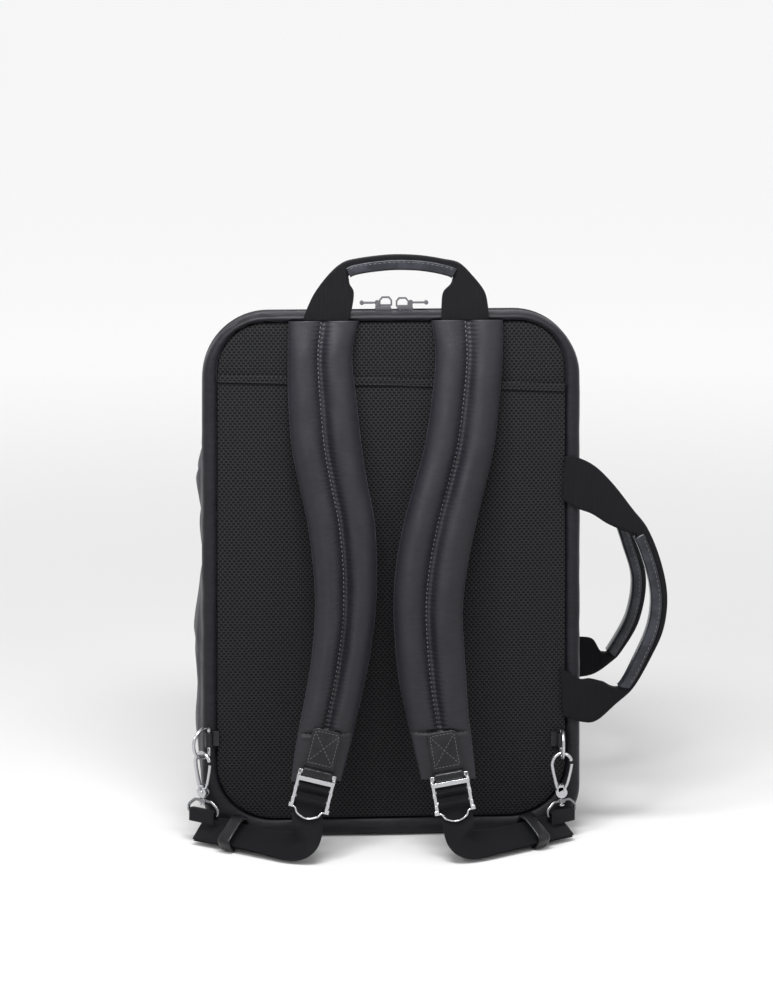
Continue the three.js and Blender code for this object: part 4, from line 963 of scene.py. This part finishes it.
webbing_turn = [
    (3.8, -16), (2.8, -6.6), (2.6, 2.6), (1.9, 4.6), (0, 5.4), (-2.1, 4.8), (-3.1, 2.6), (-1.6, 0),
    (-0.2, -2), (-1.6, -4), (-3.1, -6.6), (-1.5, -9.4), (0.9, -12.4), (1.6, -16),
]
# The run of each webbing from its buckle to its hook: x, out from the back, z, then its width's direction
webbing_runs = {
    "left": [
        (-69.5, 62.2, 36, 0.95, -0.05, -0.3), (-69.5, 63, 28.2, 0.89, -0.18, -0.42),
        (-71, 62.2, 20.2, 0.67, -0.43, -0.61), (-76, 58.4, 14.2, 0.29, -0.64, -0.71),
        (-84.5, 52.4, 11.6, -0.15, -0.74, -0.65), (-97, 42.6, 10.7, -0.4, -0.75, -0.54),
        (-117, 29, 10.8, -0.5, -0.72, -0.48), (-133, 18.4, 11.6, -0.46, -0.66, -0.6),
        (-144, 11, 11.3, -0.45, -0.66, -0.6), (-154, 4.2, 10.9, -0.46, -0.68, -0.56),
    ],
    "right": [
        (48.5, 62.2, 34, 0.98, 0.05, 0.22), (48.8, 63.6, 26.6, 0.91, 0.19, 0.35),
        (50.8, 64, 19.2, 0.69, 0.44, 0.57), (56.2, 61.8, 13.9, 0.29, 0.65, 0.7),
        (65.2, 56.2, 11.5, -0.15, 0.75, 0.64), (80.5, 46.4, 10.6, -0.4, 0.75, 0.53),
        (101, 34, 10.3, -0.5, 0.72, 0.48), (117, 23.6, 10.7, -0.47, 0.7, 0.54),
        (128, 16.4, 10.3, -0.48, 0.72, 0.5), (139, 9.2, 9.9, -0.48, 0.72, 0.48),
    ],
}
webbing_width = 24
webbing_thickness = 1.6
layer_spacing = 2.1
keeper_share = 0.73
keeper_height = 12
keeper_length = 11
keeper_room = 2.6
run_steps = 22


def run_frame(side, steps):
    rows = through([(x, back_y - out, z, a, b, c) for x, out, z, a, b, c in webbing_runs[side]], steps)
    points, across = rows[:, :3], unit(rows[:, 3:])
    return points, *framed(points, across)


def in_frame(matrix, points):
    m = np.array(matrix, float)
    return np.array(points, float) @ m[:3, :3].T + m[:3, 3]


def adjuster_webbing(side):
    points, _, normal, width = run_frame(side, 60)
    frame_matrix = buckle_matrix(side)
    turn = in_frame(frame_matrix, [(0, y, z) for y, z in through(webbing_turn, 70)])
    flat = np.array(frame_matrix, float)[:3, 0]
    lift = normal * layer_spacing / 2
    path = np.vstack([(points - lift)[::-1], turn, points + lift])
    across = np.vstack([width[::-1], np.tile(flat, (len(turn), 1)), width])
    section = rounded_strip(webbing_width, webbing_thickness)
    made = skin(sweep(path, across, section))
    add_piece(f"webbing_{side}", made, webbing, [f"adjuster_webbing_{side}"])


def keeper(side):
    points, along, normal, width = run_frame(side, run_steps)
    k = round(keeper_share * run_steps)
    stack = layer_spacing + webbing_thickness
    lift = (keeper_height - stack) / 2 - fit * 6
    centre = points[k] + normal[k] * lift
    turn = full_turn(48)
    rings = []
    rim_by = hide - 0.25
    for grow, share in [(rim_by, -1), (hide, -0.8), (hide, 0.8), (rim_by, 1), (0, 1), (0, -1)]:
        a = (webbing_width + keeper_room) / 2 + grow
        b = keeper_height / 2 + grow
        sideways = np.outer(squash(np.cos(turn), 0.45) * a, width[k])
        upwards = np.outer(squash(np.sin(turn), 0.45) * b, normal[k])
        rings.append(centre + sideways + upwards + along[k] * share * keeper_length / 2)
    made = skin(np.array(rings), caps=False, loop=True)
    add_piece(f"keeper_{side}", made, leather, [f"strap_keeper_{side}"])


# Snap hooks, swivels and D-rings

hook_frames = {"left": (-151, 8.6, 43, -42, -35), "right": (135.5, 10.7, 38.6, 0, 34)}
hook_height = 33.6
hook_width = 18.6
hook_wire = 2.9
hook_base = 4.6
boss_height = 3.2
eye_width = 31
eye_height = 13
eye_wire = 2.4
pear = [(0.14, 0.58), (0.36, 0.78), (0.56, 0.94), (0.7, 1), (0.82, 0.9), (0.92, 0.66), (0.98, 0.34)]
post_middle = -hook_base - 0.2 - boss_height / 2
boss_middle = post_middle - 0.5
eye_top = boss_middle - boss_height / 2 + eye_wire


def hook_matrix(side, angle):
    return stood(*hook_frames[side][:3], angle)


def pear_point(height, sign):
    heights, halves = zip(*pear)
    half = np.interp(height, heights, halves) * hook_width / 2 - hook_wire / 2
    return (sign * half, 0, height * hook_height)


def snap_hook(side):
    turn = hook_frames[side][3]
    inside = hook_wire / 2
    rail = [(-2.6, 0, 1.5)] + [pear_point(h, -1) for h in (0.16, 0.3, 0.45, 0.6, 0.7, 0.8, 0.88)]
    crown = [(-3.4, 0, hook_height - 2.3), (0, 0, hook_height - inside), (3.4, 0, hook_height - 2.3)]
    nose = [pear_point(h, 1) for h in (0.88, 0.82, 0.77)]
    curve = through(rail + crown + nose, 90)
    share = np.linspace(0, 1, len(curve))
    radius = 1.45 + 0.25 * np.exp(-((share - 0.05) / 0.12) ** 2)
    frame_part = wire(curve, radius, 16, flat=1.15)
    cheeks = merged(*[rod(hook_base, (0, y, 0), (0, y + 1.4, 0), 32) for y in (-2.45, 1.05)])
    rivet = merged(rod(1.7, (0, -3.1, 0), (0, -2.3, 0), 24), rod(1.7, (0, 2.3, 0), (0, 3.1, 0), 24),
                   rod(0.8, (0, -2.6, 0), (0, 2.6, 0), 16))
    webs = merged(*[block(4.4, 1.4, 5.6, -0.6, y, 3.4) for y in (-1.75, 1.75)])
    post = rod(1.4, (0, 0, post_middle - 3.6), (0, 0, -hook_base + 1), 20)
    head = rod(2.5, (0, 0, post_middle - 4.9), (0, 0, post_middle - 3.6), 24)
    neck = rod(2.6, (0, 0, -hook_base - 0.1), (0, 0, -hook_base + 1.2), 24)
    made = moved(merged(frame_part, cheeks, rivet, webs, post, head, neck), hook_matrix(side, turn))
    name = f"snap_hook_{side}"
    add_piece(f"hook_{side}", made, nickel, [name], bevel=0.3, body=name)


def hook_gate(side):
    turn = hook_frames[side][3]
    rows = [(1.6, 0, 0.4), (3.4, 0, 4.6)]
    rows += [pear_point(h, 1) for h in (0.22, 0.36, 0.5, 0.62, 0.7)]
    curve = through(rows, 50)
    arm = wire(curve, 1.25, 14)
    knuckle = rod(2, (0, -0.75, 0), (0, 0.75, 0), 24)
    made = moved(merged(arm, knuckle), hook_matrix(side, turn))
    name = f"hook_gate_{side}"
    add_piece(f"gate_{side}", made, nickel, [name], bevel=0.2, body=name)


def swivel_eye(side):
    angle = hook_frames[side][4]
    half = eye_width / 2 - eye_wire / 2
    low = eye_top - eye_height + eye_wire / 2
    high = eye_top - eye_wire / 2
    corners = [(half, low), (half, eye_top - eye_height * 0.5), (eye_width * 0.26, high),
               (-eye_width * 0.26, high), (-half, eye_top - eye_height * 0.5), (-half, low)]
    points = []
    for i, corner in enumerate(corners):
        c = np.array(corner)
        a = np.array(corners[i - 1])
        b = np.array(corners[(i + 1) % len(corners)])
        cut = 1.8
        p = c + unit(a - c) * cut
        q = c + unit(b - c) * cut
        for t in np.linspace(0, 1, 6):
            points.append((1 - t) ** 2 * p + 2 * t * (1 - t) * c + t * t * q)
    curve = [(x, 0, z) for x, z in points]
    loop = wire(curve, eye_wire / 2, 14, loop=True)
    boss = rod(3.3, (0, 0, boss_middle - boss_height / 2), (0, 0, boss_middle + boss_height / 2), 28)
    made = moved(merged(loop, boss), hook_matrix(side, angle))
    add_piece(f"eye_{side}", made, dark_nickel, [f"swivel_eye_{side}"], bevel=0.3)


chape_path = [(-3, -7), (-2.8, -3), (-2.7, 1.2), (-1.4, 2.7), (1.4, 2.7), (2.7, 1.2), (2.8, -2), (3, -5)]


def eye_chape(side):
    x, out, z, _, angle = hook_frames[side]
    matrix = stood(x, out, z + eye_top - eye_height + eye_wire / 2, angle)
    path = in_frame(matrix, [(0, y, z) for y, z in through(chape_path, 40)])
    across = np.tile(np.array(matrix, float)[:3, 0], (len(path), 1))
    made = skin(sweep(path, across, rounded_strip(webbing_width, webbing_thickness)))
    add_piece(f"chape_{side}", made, webbing, [f"eye_chape_{side}"])


ring_frames = {"left": (-145.8, 3.7, -45), "right": (135.5, 3.7, 0)}
ring_height = 27
ring_wire = 2.6
ring_leg = 5
crown_gap = 2
tab_height = 12
tab_flap = 8


def ring_middle(side):
    inside = hook_frames[side][2] + hook_height - hook_wire
    return inside - ring_wire + ring_height / 2 - crown_gap


def d_ring(side):
    x, out, turn = ring_frames[side]
    half = ring_height / 2 - ring_wire / 2
    turns = np.linspace(-math.pi / 2, math.pi / 2, 40)
    bow = [(ring_leg + half * math.cos(t), half * math.sin(t)) for t in turns]
    bar = [(0, z) for z in np.linspace(half - 1.6, -half + 1.6, 12)]
    corner = [(0.4, half - 0.5), (1.2, half)]
    loop = bow + corner[::-1] + bar + [(a, -b) for a, b in corner]
    curve = [(a, 0, b) for a, b in loop]
    made = wire(curve, ring_wire / 2, 16, loop=True)
    matrix = stood(x, out, ring_middle(side), turn - 90)
    add_piece(f"ring_{side}", moved(made, matrix), nickel, [f"d_ring_{side}"])


def ring_tab(side):
    """A leather loop round the ring's bar, with a flap sewn to the border."""
    x, out, _ = ring_frames[side]
    inward = 1 if side == "left" else -1
    bore = ring_wire / 2 * math.sqrt(2) + fit
    outer = bore + 1.2
    turn = full_turn(36)
    rings = []
    rim = outer - 0.2
    for radius, share in [(rim, -1), (outer, -0.9), (outer, 0.9), (rim, 1), (bore, 1), (bore, -1)]:
        ring = np.stack([radius * np.cos(turn), radius * np.sin(turn),
                         share * tab_height / 2 + 0.25 * np.sin(3 * turn)], 1)
        rings.append(ring)
    loop = skin(np.array(rings), caps=False, loop=True)
    flap = block(tab_flap, 1.5, tab_height, inward * tab_flap / 2, outer - 0.8, 0)
    place = Matrix.Translation((x, back_y - out, ring_middle(side) + 2))
    made = moved(merged(loop, flap), place)
    add_piece(f"tab_{side}", made, leather, [f"ring_tab_{side}"], bevel=0.3)


# Handles: outer and inner edge from the bag's top or side edge, out from its face, and thickness

top_handle_rows = [
    (-69.4, -5.2, -33.6, -5.8, 1.5, 2.2), (-64.6, 7, -30.6, 6, 1, 2.3), (-58.6, 18, -29.6, 16.6, -0.4, 3.4),
    (-48, 30.8, -32.6, 22.6, -3, 7.4), (-37.4, 39, -32, 27.6, -5, 9.4), (-25, 42, -22.4, 30.4, -6.2, 9.6),
    (-6, 44.2, -5, 32.4, -7, 9.6), (8, 44.6, 8, 32.8, -7, 9.6), (24, 43.6, 22.6, 32, -7, 9.6),
    (40, 41, 37, 29.6, -6.2, 9.6), (52.4, 38, 46, 26.6, -5, 9.4), (62.6, 28.4, 45.6, 22, -3, 7.4),
    (71.6, 16.6, 39.6, 16, -0.4, 3.4), (74.4, 5, 38.2, 5.6, 1, 2.3), (75, -5.4, 38.2, -5.6, 1.5, 2.2),
]
back_handle_rows = [
    (-14, 311, -15.6, 275.6, 1.6, 2.2), (-4, 309.8, -4.4, 269, 1.6, 2.2), (10, 302.6, 7.4, 264.6, 2.4, 2.3),
    (24.6, 288, 19.4, 257, 3.4, 3), (39.4, 269, 31, 251.6, 4.8, 6.6), (51.8, 252.8, 40.4, 246, 5.6, 9.4),
    (62.4, 226.8, 50, 221.6, 6, 9.6), (68, 199, 54.6, 198.4, 6.4, 9.6), (65.6, 172, 52.6, 175.4, 6.6, 9.6),
    (55.6, 147.8, 44, 152.6, 6.6, 9.6), (42.4, 123.6, 30, 125.4, 6, 9.4), (28.6, 109.4, 17.4, 128.6, 5, 6),
    (14, 95.4, 7.6, 130.6, 3, 2.6), (2.4, 94, -1.4, 130.4, 2, 2.2), (-13, 99, -15.6, 139.4, 1.6, 2.2),
]
front_handle_rows = [
    (-12, 297, -14, 262, 1.8, 2.2), (0, 293, -2, 257, 2, 2.2), (14, 284, 9, 251, 2.4, 2.4),
    (28, 270, 21, 245, 2.6, 3.4), (41.4, 257, 32, 242, 3, 7), (51.4, 240, 40, 234.4, 3, 9.4),
    (60.4, 215.4, 48.4, 211.6, 3, 9.6), (68.6, 183, 56, 184.4, 3, 9.6), (63.4, 148, 52.4, 154.6, 3, 9.6),
    (49.4, 122.2, 40, 129.4, 3, 9.6), (40.4, 112.4, 32.4, 121, 2.6, 8.4), (27, 102.4, 24.4, 132.4, 2.4, 4),
    (13.6, 99.4, 11.6, 134.6, 2.2, 2.4), (0.6, 100, -1, 135.4, 2, 2.2), (-12, 103, -14, 138.6, 1.8, 2.2),
]
side_x = bag_width / 2
handles = {
    "top": (top_handle_rows, 0, bag_height, back_y, -1, 8 / 28, 20 / 28),
    "back": (back_handle_rows, side_x, 0, back_y, -1, 10 / 28, 20 / 28),
    "front": (front_handle_rows, side_x, 0, front_y, 1, 10 / 28, 19 / 28),
}
handle_steps = 140
grip_hide = 1.4
grip_room = 4.8  # half the handle's thickness where the grip holds it
grip_depth = 8.2


def stations(place):
    rows, from_x, from_z, face, outward, first, last = handles[place]
    made = through([(from_x + ox, face + outward * out, from_z + oz, from_x + ix, face + outward * out,
                     from_z + iz, thick) for ox, oz, ix, iz, out, thick in rows], handle_steps)
    outer, inner, thick = made[:, :3], made[:, 3:6], made[:, 6]
    share = np.linspace(0, 1, handle_steps + 1)
    return outer, inner, thick, share, first, last


def on_station(outer, inner, section):
    """Section points: from the inner edge towards the outer edge, and forward."""
    away = unit(outer - inner)
    return inner + np.outer(section[:, 0], away) + np.outer(section[:, 1], [0, 1, 0])


def handle_core(place):
    outer, inner, thick, share, first, last = stations(place)
    rings = []
    for i, s in enumerate(share):
        width = np.linalg.norm(outer[i] - inner[i])
        gripped = smoothstep(first - 0.03, first - 0.01, s) * (1 - smoothstep(last + 0.01, last + 0.03, s))
        start = (grip_hide + fit) * gripped
        middle = (width + start) / 2
        turn = full_turn(36)
        power = 0.3 + 0.3 * smoothstep(3, 9, thick[i])
        a = squash(np.cos(turn), power) * (width - start) / 2
        b = squash(np.sin(turn), 1.1 - power) * thick[i] / 2
        rings.append(on_station(outer[i], inner[i], np.stack([middle + a, b], 1)))
    made = skin(np.array(rings))
    add_piece(f"{place}_handle_webbing", made, handle_webbing, [f"{place}_handle"])


def handle_grip(place):
    outer, inner, _, share, first, last = stations(place)
    inside = grip_room + fit
    outside = inside + grip_hide
    bend = 3
    arc = np.linspace(-math.pi / 2, 0, 7)
    corner = [(bend - bend * math.cos(t), outside - bend + bend * -math.sin(t)) for t in arc]
    rows = [i for i, s in enumerate(share) if first <= s <= last]
    rings = []
    for i in rows:
        low = [(a, -b) for a, b in corner]
        high = corner[::-1]
        outline = np.array(
            [(grip_depth, -inside - 0.3), (grip_depth + 0.1, -outside + 0.3), (grip_depth - 0.5, -outside)]
            + [(4.5, -outside - 0.15)] + low + high + [(4.5, outside + 0.15)]
            + [(grip_depth - 0.5, outside), (grip_depth + 0.1, outside - 0.3), (grip_depth, inside + 0.3)]
            + [(grip_hide + 1, inside), (grip_hide, inside - 1)]
            + [(grip_hide, -inside + 1), (grip_hide + 1, -inside)])
        end = min(i - rows[0], rows[-1] - i)
        outline = outline * [1, 1 - 0.03 * math.exp(-end / 1.5)]
        rings.append(on_station(outer[i], inner[i], outline))
    add_piece(f"{place}_painted_lit_grip_leather", ring_ends_closed(np.array(rings)), painted_lit_grip_leather,
              [f"{place}_handle_grip"])
    seams = []
    for forward in (-1, 1):
        seam = np.array([[grip_depth - 1.7, forward * (outside + 0.1)]])
        line = np.array([on_station(outer[i], inner[i], seam)[0] for i in rows[2:-2]])
        seams.append(stitch_row(line, np.tile([0, forward, 0], (len(line), 1)), 2.4, 1.3, 0.26))
    add_piece(f"{place}_grip_stitches", merged(*seams), pale_thread)


def ring_ends_closed(rings):
    """A skin closed at each end by one face, as its end sections are channels."""
    points, faces = skin(rings, caps=False)
    around = rings.shape[1]
    last = (len(rings) - 1) * around
    faces.append(tuple(range(around)))
    faces.append(tuple(last + k for k in range(around))[::-1])
    return points, faces


def dress_sliders():
    for side in ("left", "right"):
        for node, bevel in (("zip_slider", 0.45), ("zip_pull", 0.4)):
            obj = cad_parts[f"{node}_{side}"]
            obj.data.materials.clear()
            obj.data.materials.append(dark_nickel)
            obj.data.shade_smooth()
            round_edges(obj, bevel)


# Floor, light and camera

def stage():
    bpy.ops.mesh.primitive_plane_add(size=600, location=(0, 0, -0.0004))
    floor = bpy.context.object
    floor.name = "floor"
    paint = Paint("pale_floor", (0.9, 0.9, 0.9), 0.9)
    x, y, _ = paint.axes()
    away = paint.length(x, y)
    # Painted shade: the floor is painted darker near the bag, from 0.2 m out to 2.6 m from its middle. This
    # darkens the lamps' pool of light in front of the bag and the shade round its foot.
    paint.color(paint.blend(paint.span(away, 200, 2600, 0, 1), (0.57, 0.57, 0.57), (0.945, 0.945, 0.945)))
    paint.bump(paint.noise(0.02, 2), 0.1, 0.1)
    floor.data.materials.append(paint.material)


def area_light(name, place, aim, size, power):
    data = bpy.data.lights.new(name, "AREA")
    data.shape = "RECTANGLE"
    data.size, data.size_y = size
    data.energy = power
    obj = bpy.data.objects.new(name, data)
    obj.location = place
    obj.rotation_euler = (Vector(aim) - Vector(place)).to_track_quat("-Z", "Y").to_euler()
    bpy.context.scene.collection.objects.link(obj)


def lights():
    world = bpy.data.worlds.new("studio")
    world.use_nodes = True
    world.node_tree.nodes["Background"].inputs["Color"].default_value = (1, 1, 1, 1)
    world.node_tree.nodes["Background"].inputs["Strength"].default_value = 0.98
    bpy.context.scene.world = world
    area_light("front_left", (-0.8, -0.9, 0.95), (0, 0, 0.38), (0.22, 0.36), 5.5)
    area_light("front_right", (0.8, -0.8, 0.85), (0, 0, 0.36), (0.16, 0.4), 2.2)
    area_light("overhead", (-0.08, -0.48, 0.98), (0, -0.06, 0.42), (0.5, 0.18), 12)


def camera():
    a, e = math.radians(camera_azimuth), math.radians(camera_pitch)
    back = Vector((math.sin(a) * math.cos(e), -math.cos(a) * math.cos(e), math.sin(e)))
    data = bpy.data.cameras.new("camera")
    data.lens = camera_lens
    data.sensor_width = 36
    data.clip_end = 100
    obj = bpy.data.objects.new("camera", data)
    obj.location = (camera_aim + back * camera_distance) * MM
    obj.rotation_euler = (-back).to_track_quat("-Z", "Y").to_euler()
    bpy.context.scene.collection.objects.link(obj)
    bpy.context.scene.camera = obj


camera()
lights()
stage()
bpy.context.scene.view_settings.view_transform = "Standard"

bag_body()
main_zip()
dress_sliders()
back_panels()
makers = [shoulder_strap, leather_patch, ladder_buckle, adjuster_webbing, keeper, snap_hook,
          hook_gate, swivel_eye, eye_chape, d_ring, ring_tab]
for side in ("left", "right"):
    for make in makers:
        make(side)
for place in handles:
    handle_core(place)
    handle_grip(place)
